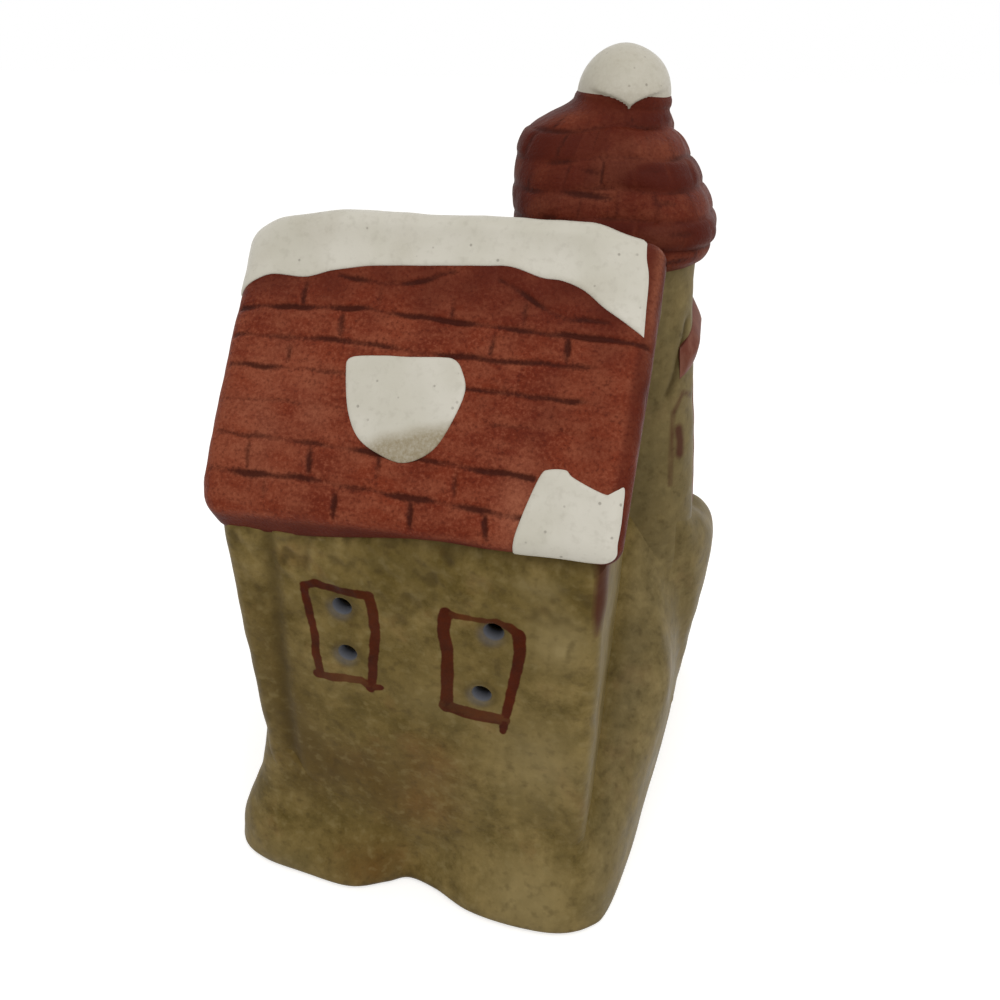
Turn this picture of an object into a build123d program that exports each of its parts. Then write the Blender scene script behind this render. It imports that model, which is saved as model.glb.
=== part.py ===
from build123d import *
from math import atan2, cos, sin
import os

os.makedirs("parts", exist_ok=True)

# Overall sizes in millimetres: origin under the middle of the base, +Z up, windowed front toward -Y
base_width = 91.0
base_depth = 90.0
house_width = 60.0
house_depth = 55.0
eave_height = 83.0
ridge_height = 119.4
shell_wall = 4.0
overrun = 5.0

# Where the house stands on the base
front_apron = 5.5
rear_apron = 8.5
house_shift_share = -0.0385
house_x = house_shift_share * base_width
front_y = front_apron - base_depth / 2
house_y = front_y + house_depth / 2
back_y = front_y + house_depth
house_corner = 5.0
core_inset = 1.5

# Base: a hollow foot with a floor that carries the light
foot_recess = 6.0
floor_thickness = 5.0
floor_top = foot_recess + floor_thickness
foot_rim = 7.0
foot_lift = 4.0
mound_mid = 14.0
mound_top = 27.0
foot_draft = 0.4
mid_blend_share = 0.5
vent_diameter = 12.0
window_hole = 3.2

# Gable roof
roof_overhang = 2.5
roof_side_overhang = 1.5
roof_thickness = 6.0
roof_round = 1.5
snow_thickness = 1.0
roof_run = house_depth / 2 + roof_overhang
roof_rise = ridge_height - eave_height
roof_pitch = atan2(roof_rise, roof_run)
roof_width = house_width + 2 * roof_side_overhang
eave_front_y = front_y - roof_overhang
eave_back_y = back_y + roof_overhang
eave_step_y = roof_thickness * sin(roof_pitch)
eave_step_z = roof_thickness * cos(roof_pitch)
ridge_under = ridge_height - roof_thickness / cos(roof_pitch)

# Tower behind the right half of the house
tower_left_share = 0.1
tower_top_right_share = 0.588
tower_mid_right_share = 0.69
tower_foot_right_share = 0.74
tower_front_share = 0.755
tower_top_share = 0.905
tower_mid_share = 0.51
tower_top_height = tower_top_share * ridge_height
tower_mid_height = tower_mid_share * ridge_height
tower_corner = 8.0
tower_back_batter = 5.0
tower_left = house_x + tower_left_share * house_width
tower_front = front_y + tower_front_share * house_depth
tower_back = base_depth / 2 - rear_apron
tower_levels = (
    (floor_top, house_x + tower_foot_right_share * house_width, tower_back),
    (tower_mid_height, house_x + tower_mid_right_share * house_width, tower_back - tower_back_batter / 2),
    (tower_top_height, house_x + tower_top_right_share * house_width, tower_back - tower_back_batter),
)
tower_top_right = tower_levels[2][1]
tower_top_back = tower_levels[2][2]
tower_x = (tower_left + tower_top_right) / 2
tower_y = (tower_front + tower_top_back) / 2
tower_half = max(tower_top_right - tower_left, tower_top_back - tower_front) / 2

# Tower roof of stepped tile courses, and the snowball on it
tower_roof_overhang = 3.4
tower_roof_rise = 21.6
tower_roof_radius = tower_half + tower_roof_overhang
tower_roof_hollow_share = 0.55
course_step = 0.7
course_shares = (
    (0.0, 0.9), (0.16, 0.97), (0.32, 1.0), (0.46, 0.95),
    (0.6, 0.87), (0.73, 0.76), (0.86, 0.62), (1.0, 0.42),
)
ball_radius = 7.65
ball_sink = 1.7

# Entrance on the right flank of the tower
door_width = 13.0
door_height = 22.0
door_thickness = 0.8
door_sill = 2.0
hood_rise = 12.0
hood_half_span = 10.0
hood_thickness = 4.0
hood_reach = 3.8
hood_lift = 6.0
ramp_low = 6.0
ramp_landing_share = 0.44
ramp_landing = ramp_landing_share * ridge_height
ramp_shares = (
    (0.483, -0.02), (0.6, 0.02), (0.7, 0.53), (0.78, 1.05),
    (0.78, 1.24), (0.72, 1.36), (0.483, 1.36),
)
ramp_side_shares = ((-0.02, 0.1), (1.04, 0.97), (1.12, 1.0), (1.3, 1.0), (1.4, 0.9))

# Light unit: a coin-cell lamp that plugs into the floor from below
lamp_x = house_x
lamp_y = house_y
cup_diameter = 34.0
cup_wall = 2.0
cup_height = 13.0
flange_diameter = 41.0
flange_thickness = 2.0
flange_gap = 0.5
moving_gap = 0.3
grip_proud = 0.8
grip_height = 3.0
lamp_hole = cup_diameter + 2 * (grip_proud + moving_gap)
cup_bore = cup_diameter - 2 * cup_wall
cup_rim = foot_recess + cup_height
flange_under = foot_recess - flange_thickness
grip_low = foot_recess + (floor_thickness - grip_height) / 2

cell_diameter = 20.0
cell_thickness = 3.2
cell_x = -2.5
cell_gap = 0.3
cell_ring_wall = 1.2
cell_ring_height = 4.0
cell_lift = 0.6
cell_low = foot_recess + cell_lift
cell_high = cell_low + cell_thickness

board_lift = 7.0
board_low = foot_recess + board_lift
board_thickness = 1.2
board_high = board_low + board_thickness
board_diameter = 28.0
post_diameter = 4.4
post_x = 5.0
post_y = 12.0
post_places = ((post_x, -post_y), (post_x, post_y))
screw_diameter = 1.9
screw_head_diameter = 3.6
screw_head_height = 1.2
screw_length = 4.0
pin_size = 0.5
pin_pitch = 2.54
pin_tail = 1.4

led_diameter = 5.0
led_rim_diameter = 5.8
led_rim_height = 1.0
led_straight = 5.1

dome_wall = 1.5
dome_straight = 6.0
dome_rise = 12.0
dome_skirt = 2.5
dome_skirt_gap = 0.2

door_plate_diameter = 24.0
door_plate_thickness = 1.2
door_plug_height = 1.4
door_ear_width = 6.0
door_screw_offset = 13.0
contact_thickness = 0.3
contact_length = 12.0
contact_width = 4.0
contact_button = 3.0
contact_gap = 0.1

switch_x = 11.4
switch_width = 3.6
switch_length = 8.8
switch_height = 6.5
switch_travel = 3.0
slider_width = 1.6
slider_length = 3.0
slider_head_extra = 0.5
slider_head_height = 1.0
slider_proud = 1.4
switch_lip = 0.6
switch_low = board_low - switch_height


def house_level(z):
    """Level plane with its origin on the middle of the house."""
    return Plane((house_x, house_y, z))


def lamp_level(z):
    """Level plane with its origin on the axis of the light unit."""
    return Plane((lamp_x, lamp_y, z))


def side_plane(x):
    """Upright plane facing +X: sketch X runs along +Y and sketch Y along +Z."""
    return Plane((x, 0, 0), x_dir=(0, 1, 0), z_dir=(1, 0, 0))


# Outline of the base: each place on the foot runs in to a place under the walls
foot_shares = (
    (-0.96, -0.765), (-0.832, -0.916), (-0.363, -0.969), (-0.118, -0.877), (0.156, -0.945), (0.528, -0.964),
    (0.694, -0.872), (0.861, -0.192), (0.998, 0.489), (0.91, 0.878), (0.391, 0.975), (-0.245, 0.606),
    (-0.803, 0.392), (-0.94, -0.201),
)
core_shares = (
    (-0.95, -0.78), (-0.86, -1.0), (-0.4, -1.0), (-0.1, -1.0), (0.3, -1.0), (0.76, -1.0),
    (0.93, -0.85), (1.0, 0.1), (1.26, 1.06), (1.2, 1.5), (0.66, 1.6), (0.0, 1.0),
    (-0.9, 0.9), (-1.0, 0.0),
)
core_half_width = house_width / 2 - core_inset
core_half_depth = house_depth / 2 - core_inset


def mound_outline(blend, inset=0):
    """Places of the base outline, from the foot (0) in to the walls (1), drawn in evenly by an inset."""
    places = []
    for foot, core in zip(foot_shares, core_shares):
        foot_place = (foot[0] * (base_width / 2 - inset), foot[1] * (base_depth / 2 - inset))
        core_place = (house_x + core[0] * core_half_width, house_y + core[1] * core_half_depth)
        x = foot_place[0] + blend * (core_place[0] - foot_place[0])
        y = foot_place[1] + blend * (core_place[1] - foot_place[1])
        places.append((x, y))
    return places


def slope_line(y, lift):
    """Height of the roof slopes at a depth, lifted square to the slope."""
    return ridge_height - abs(y - house_y) * roof_rise / roof_run + lift / cos(roof_pitch)


mound_levels = (
    (0, 0),
    (foot_lift, foot_draft / foot_rim),
    (mound_mid, mid_blend_share),
    (mound_top, 1),
)

# Solids that the pieces are trimmed with
with BuildPart() as mound_solid:
    for z, blend in mound_levels:
        with BuildSketch(Plane.XY.offset(z)):
            with BuildLine():
                Spline(*mound_outline(blend), periodic=True)
            make_face()
    loft()

roof_section = (
    (eave_front_y, eave_height),
    (eave_front_y + eave_step_y, eave_height - eave_step_z),
    (house_y, ridge_under),
    (eave_back_y - eave_step_y, eave_height - eave_step_z),
    (eave_back_y, eave_height),
)

with BuildPart() as roof_and_sky:
    with BuildSketch(side_plane(house_x - house_width)):
        with BuildLine():
            Polyline(
                *roof_section,
                (eave_back_y, 2 * ridge_height),
                (eave_front_y, 2 * ridge_height),
                close=True,
            )
        make_face()
    extrude(amount=2 * house_width)

with BuildPart() as house_envelope:
    with BuildSketch(house_level(0)):
        RectangleRounded(house_width, house_depth, house_corner)
    extrude(amount=ridge_height)
    add(roof_and_sky.part, mode=Mode.SUBTRACT)
    with BuildSketch(side_plane(house_x - roof_width / 2)):
        with BuildLine():
            Polyline(*roof_section, (house_y, ridge_height), close=True)
        make_face()
    extrude(amount=roof_width)

with BuildPart() as tower_solid:
    for z, right, back in tower_levels:
        with BuildSketch(Plane(((tower_left + right) / 2, (tower_front + back) / 2, z))):
            RectangleRounded(right - tower_left, back - tower_front, tower_corner)
    loft(ruled=True)

# Base mound with its floor, the hole for the light and the vent under the tower
with BuildPart() as base_mound:
    add(mound_solid.part)
    with BuildSketch(house_level(floor_top)):
        RectangleRounded(house_width, house_depth, house_corner)
    extrude(amount=mound_top, mode=Mode.SUBTRACT)
    add(tower_solid.part, mode=Mode.SUBTRACT)
    with BuildSketch(Plane.XY):
        with BuildLine():
            Spline(*mound_outline(0, foot_rim), periodic=True)
        make_face()
    extrude(amount=foot_recess, mode=Mode.SUBTRACT)
    with BuildSketch(lamp_level(0)):
        Circle(flange_diameter / 2 + flange_gap)
    extrude(amount=foot_recess, mode=Mode.SUBTRACT)
    with BuildSketch(lamp_level(0)):
        Circle(lamp_hole / 2)
    extrude(amount=floor_top + overrun, mode=Mode.SUBTRACT)
    with BuildSketch(Plane((tower_x, (back_y + tower_back) / 2, 0))):
        Circle(vent_diameter / 2)
    extrude(amount=floor_top + overrun, mode=Mode.SUBTRACT)
base_mound.part.label = "base_mound"
export_step(base_mound.part, "parts/base_mound.step")

# House walls with their gables and the drilled window holes
window_hole_shares = ((-0.193, 0.787), (-0.19, 0.675), (0.223, 0.784), (0.192, 0.627))
with BuildPart() as house_walls:
    with BuildSketch(house_level(floor_top)):
        RectangleRounded(house_width, house_depth, house_corner)
        RectangleRounded(
            house_width - 2 * shell_wall,
            house_depth - 2 * shell_wall,
            house_corner - shell_wall,
            mode=Mode.SUBTRACT,
        )
    extrude(amount=ridge_height)
    add(roof_and_sky.part, mode=Mode.SUBTRACT)
    with BuildSketch(Plane((house_x, front_y - overrun, 0), x_dir=(1, 0, 0), z_dir=(0, -1, 0))):
        with Locations(*[(share[0] * house_width, share[1] * eave_height) for share in window_hole_shares]):
            Circle(window_hole / 2)
    extrude(amount=-2 * overrun, mode=Mode.SUBTRACT)
house_walls.part.label = "house_walls"
export_step(house_walls.part, "parts/house_walls.step")

# Gable roof slab with rounded eaves
with BuildPart() as gable_roof:
    with BuildSketch(side_plane(house_x - roof_width / 2)):
        with BuildLine():
            Polyline(*roof_section, (house_y, ridge_height), close=True)
        make_face()
    extrude(amount=roof_width)
    fillet(gable_roof.edges().filter_by(Axis.X).group_by(Axis.Z)[1], radius=roof_round)
gable_roof.part.label = "gable_roof"
export_step(gable_roof.part, "parts/gable_roof.step")


def snow_outline(shares):
    """Places on the roof in plan: shares of the half width, then of the run from ridge to front eave."""
    return [(house_x + share[0] * roof_width / 2, house_y - share[1] * roof_run) for share in shares]


snow_section = (
    (eave_front_y, slope_line(eave_front_y, 0)),
    (house_y, ridge_height),
    (eave_back_y, slope_line(eave_back_y, 0)),
    (eave_back_y, slope_line(eave_back_y, snow_thickness)),
    (house_y, slope_line(house_y, snow_thickness)),
    (eave_front_y, slope_line(eave_front_y, snow_thickness)),
)
ridge_snow_shares = (
    (-0.96, 0.24), (-0.7, 0.2), (-0.4, 0.22), (-0.1, 0.2), (0.2, 0.21),
    (0.45, 0.25), (0.62, 0.29), (0.78, 0.38), (0.93, 0.45), (0.93, 0.1),
    (0.93, -0.2), (0.5, -0.24), (0.0, -0.2), (-0.5, -0.25), (-0.96, -0.2),
)
roof_patch_shares = (
    (-0.38, 0.46), (0.02, 0.45), (0.09, 0.5), (0.06, 0.62),
    (-0.02, 0.72), (-0.14, 0.76), (-0.3, 0.72), (-0.4, 0.6),
)
eave_patch_shares = (
    (0.48, 0.93), (0.52, 0.8), (0.66, 0.78), (0.78, 0.84), (0.93, 0.81), (0.93, 0.95), (0.5, 0.96),
)
snow_outlines = {
    "ridge_snow": ridge_snow_shares,
    "roof_snow_patch": roof_patch_shares,
    "eave_snow_patch": eave_patch_shares,
}
# Snow lying on the roof: each patch is cut from one even layer by its outline seen from above
for snow_name, shares in snow_outlines.items():
    with BuildPart() as snow:
        with BuildSketch(side_plane(house_x - roof_width / 2)):
            with BuildLine():
                Polyline(*snow_section, close=True)
            make_face()
        extrude(amount=roof_width)
        with BuildSketch(Plane.XY):
            with BuildLine():
                Polyline(*snow_outline(shares), close=True)
            make_face()
        extrude(amount=2 * ridge_height, mode=Mode.INTERSECT)
    snow.part.label = snow_name
    export_step(snow.part, f"parts/{snow_name}.step")

# Tower walls: a battered shell trimmed where it stands on the roof and against the house
with BuildPart() as tower_walls:
    add(tower_solid.part)
    for z, right, back in tower_levels:
        with BuildSketch(Plane(((tower_left + right) / 2, (tower_front + back) / 2, z))):
            RectangleRounded(
                right - tower_left - 2 * shell_wall,
                back - tower_front - 2 * shell_wall,
                tower_corner - shell_wall,
            )
    loft(ruled=True, mode=Mode.SUBTRACT)
    add(house_envelope.part, mode=Mode.SUBTRACT)
tower_walls.part.label = "tower_walls"
export_step(tower_walls.part, "parts/tower_walls.step")

# Tower roof: courses of tiles stepping in to the top, hollow below
course_places = [(share[1] * tower_roof_radius, share[0] * tower_roof_rise) for share in course_shares]
roof_profile = [(0, 0), course_places[0]]
for lower, upper in zip(course_places, course_places[1:]):
    roof_profile.append((upper[0] + course_step / 2, upper[1]))
    roof_profile.append((upper[0] - course_step / 2, upper[1]))
roof_profile[-1] = (0, tower_roof_rise)
with BuildPart() as tower_roof:
    with BuildSketch(Plane((tower_x, tower_y, tower_top_height), x_dir=(1, 0, 0), z_dir=(0, -1, 0))):
        with BuildLine():
            Polyline(*roof_profile, close=True)
        make_face()
        with BuildLine():
            Polyline(
                (0, 0),
                (tower_roof_hollow_share * tower_roof_radius, 0),
                (tower_roof_hollow_share * tower_roof_radius, tower_roof_hollow_share * tower_roof_rise),
                (0, tower_roof_hollow_share * tower_roof_rise),
                close=True,
            )
        make_face(mode=Mode.SUBTRACT)
    revolve(axis=Axis((tower_x, tower_y, 0), (0, 0, 1)))
    add(house_envelope.part, mode=Mode.SUBTRACT)
tower_roof.part.label = "tower_roof"
export_step(tower_roof.part, "parts/tower_roof.step")

# Snowball finial seated on the top of the tower roof
ball_height = tower_top_height + tower_roof_rise + ball_radius - ball_sink
with BuildPart() as snowball_finial:
    with Locations((tower_x, tower_y, ball_height)):
        Sphere(ball_radius)
    add(tower_roof.part, mode=Mode.SUBTRACT)
snowball_finial.part.label = "snowball_finial"
export_step(snowball_finial.part, "parts/snowball_finial.step")

# Snow ramp that climbs beside the gable to the door
ramp_plan = [(house_x + share[0] * house_width, front_y + share[1] * house_depth) for share in ramp_shares]
ramp_climb = ramp_landing - ramp_low
ramp_side = [
    (front_y + share[0] * house_depth, ramp_low + share[1] * ramp_climb)
    for share in ramp_side_shares
]
with BuildPart() as snow_ramp:
    with BuildSketch(side_plane(house_x)):
        with BuildLine():
            Polyline(
                (ramp_side[0][0], ramp_low / 2),
                *ramp_side,
                (ramp_side[-1][0], ramp_low / 2),
                close=True,
            )
        make_face()
    extrude(amount=house_width)
    with BuildSketch(Plane.XY):
        with BuildLine():
            Polyline(*ramp_plan, close=True)
        make_face()
    extrude(amount=2 * ramp_landing, mode=Mode.INTERSECT)
    add(house_envelope.part, mode=Mode.SUBTRACT)
    add(tower_solid.part, mode=Mode.SUBTRACT)
    add(mound_solid.part, mode=Mode.SUBTRACT)
snow_ramp.part.label = "snow_ramp"
export_step(snow_ramp.part, "parts/snow_ramp.step")

# Door and its hood on the upper flank of the tower
flank_low = (tower_levels[1][1], tower_levels[1][0])
flank_high = (tower_levels[2][1], tower_levels[2][0])
flank_lean = atan2(flank_low[0] - flank_high[0], flank_high[1] - flank_low[1])
door_plane = Plane(
    (flank_low[0] - door_sill * sin(flank_lean), tower_y, flank_low[1] + door_sill * cos(flank_lean)),
    x_dir=(0, 1, 0),
    z_dir=(cos(flank_lean), 0, sin(flank_lean)),
)
with BuildPart() as door_panel:
    with BuildSketch(door_plane):
        Rectangle(door_width, door_height, align=(Align.CENTER, Align.MIN))
        with Locations((0, door_height)):
            Circle(door_width / 2)
    extrude(amount=door_thickness)
door_panel.part.label = "door_panel"
export_step(door_panel.part, "parts/door_panel.step")

hood_low = flank_low[1] + door_sill + door_height + hood_lift
with BuildPart() as door_hood:
    with BuildSketch(side_plane(tower_top_right)):
        with BuildLine():
            Polyline(
                (tower_y - hood_half_span, hood_low),
                (tower_y, hood_low + hood_rise),
                (tower_y + hood_half_span, hood_low),
                (tower_y + hood_half_span, hood_low - hood_thickness),
                (tower_y, hood_low + hood_rise - hood_thickness),
                (tower_y - hood_half_span, hood_low - hood_thickness),
                close=True,
            )
        make_face()
    extrude(amount=hood_reach)
    add(tower_solid.part, mode=Mode.SUBTRACT)
door_hood.part.label = "door_hood"
export_step(door_hood.part, "parts/door_hood.step")

# Light unit housing: flanged cup with the cell ring, board posts and the slots in its bottom
with BuildPart() as lamp_housing:
    with BuildSketch(lamp_level(flange_under)):
        Circle(flange_diameter / 2)
    extrude(amount=flange_thickness)
    with BuildSketch(lamp_level(foot_recess)):
        Circle(cup_diameter / 2)
        Circle(cup_bore / 2, mode=Mode.SUBTRACT)
    extrude(amount=cup_height)
    with BuildSketch(lamp_level(foot_recess)):
        with Locations((cell_x, 0)):
            Circle(cell_diameter / 2 + cell_gap + cell_ring_wall)
        with Locations((cell_x, door_screw_offset)):
            Circle(post_diameter / 2)
    extrude(amount=cell_ring_height)
    with BuildSketch(lamp_level(foot_recess)):
        with Locations(*post_places):
            Circle(post_diameter / 2)
    extrude(amount=board_low - foot_recess)
    with BuildSketch(lamp_level(flange_under)):
        with Locations((cell_x, 0)):
            Circle(cell_diameter / 2 + cell_gap)
        with Locations((switch_x, 0)):
            Rectangle(slider_width + 2 * moving_gap, slider_length + switch_travel + 2 * moving_gap)
        with Locations((cell_x, door_screw_offset)):
            Circle(screw_diameter / 2 + moving_gap)
    extrude(amount=flange_thickness + cell_ring_height, mode=Mode.SUBTRACT)
    with BuildSketch(lamp_level(board_low - screw_length + board_thickness)):
        with Locations(*post_places):
            Circle(screw_diameter / 2)
    extrude(amount=screw_length, mode=Mode.SUBTRACT)
    with BuildSketch(lamp_level(grip_low)):
        Circle(cup_diameter / 2 + overrun)
        Circle(cup_diameter / 2 - grip_proud, mode=Mode.SUBTRACT)
    extrude(amount=grip_height, mode=Mode.SUBTRACT)
lamp_housing.part.label = "lamp_housing"
export_step(lamp_housing.part, "parts/lamp_housing.step")

# Soft ring that grips the hole in the floor
with BuildPart() as grip_ring:
    with BuildSketch(lamp_level(grip_low)):
        Circle(cup_diameter / 2 + grip_proud)
        Circle(cup_diameter / 2 - grip_proud, mode=Mode.SUBTRACT)
    extrude(amount=grip_height)
grip_ring.part.label = "grip_ring"
export_step(grip_ring.part, "parts/grip_ring.step")

# Frosted dome over the light, with a skirt inside the cup
dome_outer = cup_diameter / 2
dome_inner = dome_outer - dome_wall - cup_wall
dome_shoulder = cup_rim + dome_straight
dome_top = dome_shoulder + dome_rise
skirt_radius = cup_bore / 2 - dome_skirt_gap
skirt_low = cup_rim - dome_skirt
inner_rise = dome_rise - dome_wall
inner_top = dome_top - dome_wall
lamp_section = Plane((lamp_x, lamp_y, 0), x_dir=(1, 0, 0), z_dir=(0, -1, 0))
lamp_axis = Axis((lamp_x, lamp_y, 0), (0, 0, 1))


def cap_radius(reach, rise):
    """Radius of the ball whose cap has this reach and rise."""
    return (reach * reach + rise * rise) / (2 * rise)


with BuildPart() as diffuser_dome:
    with BuildSketch(lamp_section):
        with BuildLine():
            Polyline(
                (dome_outer, dome_shoulder),
                (dome_outer, cup_rim),
                (skirt_radius, cup_rim),
                (skirt_radius, skirt_low),
                (0, skirt_low),
                (0, dome_top),
            )
            RadiusArc((0, dome_top), (dome_outer, dome_shoulder), cap_radius(dome_outer, dome_rise))
        make_face()
    revolve(axis=lamp_axis)
    with BuildSketch(lamp_section):
        with BuildLine():
            Polyline(
                (dome_inner, dome_shoulder),
                (dome_inner, skirt_low),
                (0, skirt_low),
                (0, inner_top),
            )
            RadiusArc((0, inner_top), (dome_inner, dome_shoulder), cap_radius(dome_inner, inner_rise))
        make_face()
    revolve(axis=lamp_axis, mode=Mode.SUBTRACT)
diffuser_dome.part.label = "diffuser_dome"
export_step(diffuser_dome.part, "parts/diffuser_dome.step")

# Round circuit board on the posts
with BuildPart() as circuit_board:
    with BuildSketch(lamp_level(board_low)):
        Circle(board_diameter / 2)
        with Locations(*post_places):
            Circle(screw_diameter / 2, mode=Mode.SUBTRACT)
        with GridLocations(pin_pitch, 0, 2, 1):
            Rectangle(pin_size, pin_size, mode=Mode.SUBTRACT)
    extrude(amount=board_thickness)
circuit_board.part.label = "circuit_board"
export_step(circuit_board.part, "parts/circuit_board.step")

# Two screws that hold the board
with BuildPart() as board_screws:
    with BuildSketch(lamp_level(board_high)):
        with Locations(*post_places):
            Circle(screw_head_diameter / 2)
    extrude(amount=screw_head_height)
    with BuildSketch(lamp_level(board_high)):
        with Locations(*post_places):
            Circle(screw_diameter / 2)
    extrude(amount=-screw_length)
board_screws.part.label = "board_screws"
export_step(board_screws.part, "parts/board_screws.step")

# Light-emitting diode and its two legs through the board
with BuildPart() as led:
    with BuildSketch(lamp_level(board_high)):
        Circle(led_rim_diameter / 2)
    extrude(amount=led_rim_height)
    with BuildSketch(lamp_level(board_high + led_rim_height)):
        Circle(led_diameter / 2)
    extrude(amount=led_straight)
    with Locations((lamp_x, lamp_y, board_high + led_rim_height + led_straight)):
        Sphere(led_diameter / 2)
led.part.label = "led"
export_step(led.part, "parts/led.step")

with BuildPart() as led_leads:
    with BuildSketch(lamp_level(board_high)):
        with GridLocations(pin_pitch, 0, 2, 1):
            Rectangle(pin_size, pin_size)
    extrude(amount=-board_thickness - pin_tail)
led_leads.part.label = "led_leads"
export_step(led_leads.part, "parts/led_leads.step")

# Coin cell between its two contacts
contact_leg_x = (contact_length - contact_thickness) / 2
with BuildPart() as coin_cell:
    with BuildSketch(Plane((lamp_x + cell_x, lamp_y, cell_low))):
        Circle(cell_diameter / 2)
    extrude(amount=cell_thickness)
coin_cell.part.label = "coin_cell"
export_step(coin_cell.part, "parts/coin_cell.step")

with BuildPart() as plus_contact:
    with BuildSketch(Plane((lamp_x + cell_x, lamp_y, cell_high))):
        Rectangle(contact_length, contact_width)
    extrude(amount=contact_thickness)
    with BuildSketch(Plane((lamp_x + cell_x - contact_leg_x, lamp_y, cell_high))):
        Rectangle(contact_thickness, contact_width)
    extrude(amount=board_low - cell_high)
plus_contact.part.label = "plus_contact"
export_step(plus_contact.part, "parts/plus_contact.step")

# Battery door with its plug, ear, minus contact and screw
plug_top = flange_under + door_plug_height
with BuildPart() as battery_door:
    with BuildSketch(Plane((lamp_x + cell_x, lamp_y, flange_under))):
        Circle(door_plate_diameter / 2)
        with Locations((0, door_screw_offset / 2)):
            Rectangle(door_ear_width, door_screw_offset)
        with Locations((0, door_screw_offset)):
            Circle(door_ear_width / 2)
        with Locations((0, door_screw_offset)):
            Circle(screw_diameter / 2, mode=Mode.SUBTRACT)
    extrude(amount=-door_plate_thickness)
    with BuildSketch(Plane((lamp_x + cell_x, lamp_y, flange_under))):
        Circle(cell_diameter / 2)
    extrude(amount=door_plug_height)
battery_door.part.label = "battery_door"
export_step(battery_door.part, "parts/battery_door.step")

with BuildPart() as minus_contact:
    with BuildSketch(Plane((lamp_x + cell_x, lamp_y, plug_top))):
        Rectangle(contact_length, contact_width)
    extrude(amount=contact_thickness)
    with BuildSketch(Plane((lamp_x + cell_x, lamp_y, plug_top))):
        Circle(contact_button / 2)
    extrude(amount=cell_low - plug_top - contact_gap)
minus_contact.part.label = "minus_contact"
export_step(minus_contact.part, "parts/minus_contact.step")

with BuildPart() as door_screw:
    door_under = flange_under - door_plate_thickness
    door_screw_plane = Plane((lamp_x + cell_x, lamp_y + door_screw_offset, door_under))
    with BuildSketch(door_screw_plane):
        Circle(screw_head_diameter / 2)
    extrude(amount=-screw_head_height)
    with BuildSketch(door_screw_plane):
        Circle(screw_diameter / 2)
    extrude(amount=door_plate_thickness + screw_length)
door_screw.part.label = "door_screw"
export_step(door_screw.part, "parts/door_screw.step")

# Slide switch under the board, its slider reaching out through the bottom
slider_head = slider_width + 2 * slider_head_extra
slider_foot = slider_length + 2 * slider_head_extra
pocket_low = switch_low + switch_lip
with BuildPart() as switch_body:
    with BuildSketch(Plane((lamp_x + switch_x, lamp_y, switch_low))):
        Rectangle(switch_width, switch_length)
    extrude(amount=switch_height)
    with BuildSketch(Plane((lamp_x + switch_x, lamp_y, switch_low))):
        Rectangle(slider_width + 2 * moving_gap, slider_length + switch_travel + 2 * moving_gap)
    extrude(amount=switch_lip, mode=Mode.SUBTRACT)
    with BuildSketch(Plane((lamp_x + switch_x, lamp_y, pocket_low))):
        Rectangle(slider_head + 2 * moving_gap, slider_foot + switch_travel + 2 * moving_gap)
    extrude(amount=slider_head_height + 2 * moving_gap, mode=Mode.SUBTRACT)
switch_body.part.label = "switch_body"
export_step(switch_body.part, "parts/switch_body.step")

with BuildPart() as switch_slider:
    with BuildSketch(Plane((lamp_x + switch_x, lamp_y - switch_travel / 2, pocket_low + moving_gap))):
        Rectangle(slider_head, slider_foot)
    extrude(amount=slider_head_height)
    with BuildSketch(Plane((lamp_x + switch_x, lamp_y - switch_travel / 2, flange_under - slider_proud))):
        Rectangle(slider_width, slider_length)
    extrude(amount=pocket_low + moving_gap - flange_under + slider_proud)
switch_slider.part.label = "switch_slider"
export_step(switch_slider.part, "parts/switch_slider.step")
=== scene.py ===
import math

import bpy
import numpy as np
from mathutils import Matrix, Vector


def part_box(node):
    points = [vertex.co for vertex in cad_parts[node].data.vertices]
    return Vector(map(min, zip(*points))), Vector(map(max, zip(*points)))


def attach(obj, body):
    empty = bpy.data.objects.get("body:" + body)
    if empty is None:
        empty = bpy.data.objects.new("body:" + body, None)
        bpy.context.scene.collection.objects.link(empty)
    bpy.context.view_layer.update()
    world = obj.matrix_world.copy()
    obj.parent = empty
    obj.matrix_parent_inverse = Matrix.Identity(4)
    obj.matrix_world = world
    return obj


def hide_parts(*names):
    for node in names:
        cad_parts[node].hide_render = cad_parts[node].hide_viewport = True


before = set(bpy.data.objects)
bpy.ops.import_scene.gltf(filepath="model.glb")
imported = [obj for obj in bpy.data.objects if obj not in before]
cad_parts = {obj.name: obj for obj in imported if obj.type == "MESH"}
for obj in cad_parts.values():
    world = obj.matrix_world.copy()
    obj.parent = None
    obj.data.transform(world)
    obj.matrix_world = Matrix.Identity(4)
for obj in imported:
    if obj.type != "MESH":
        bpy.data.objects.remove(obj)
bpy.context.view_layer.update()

# House frame in millimetres: x from the middle of the front wall, y back from it, z up from the foot
MM = 0.001
wall_low, wall_high = (np.array(corner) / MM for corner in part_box("house_walls"))
roof_low, roof_high = (np.array(corner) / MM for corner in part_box("gable_roof"))
tower_low, tower_high = (np.array(corner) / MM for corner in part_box("tower_walls"))
ball_low, ball_high = (np.array(corner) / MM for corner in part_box("snowball_finial"))
HOUSE_PLACE = np.array([(wall_low[0] + wall_high[0]) / 2, wall_low[1], 0.0])
WALL_HALF = (wall_high[0] - wall_low[0]) / 2
WALL_DEPTH = wall_high[1] - wall_low[1]
FLOOR_TOP = wall_low[2]
WALL_THICK = 4.0
WALL_CORNER = 2.6
WALL_LEFT_EXTRA = 1.1
WALL_ROWS = 165
WALL_INNER_ROWS = 8
WALL_INTO_ROOF = 1.5

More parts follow.
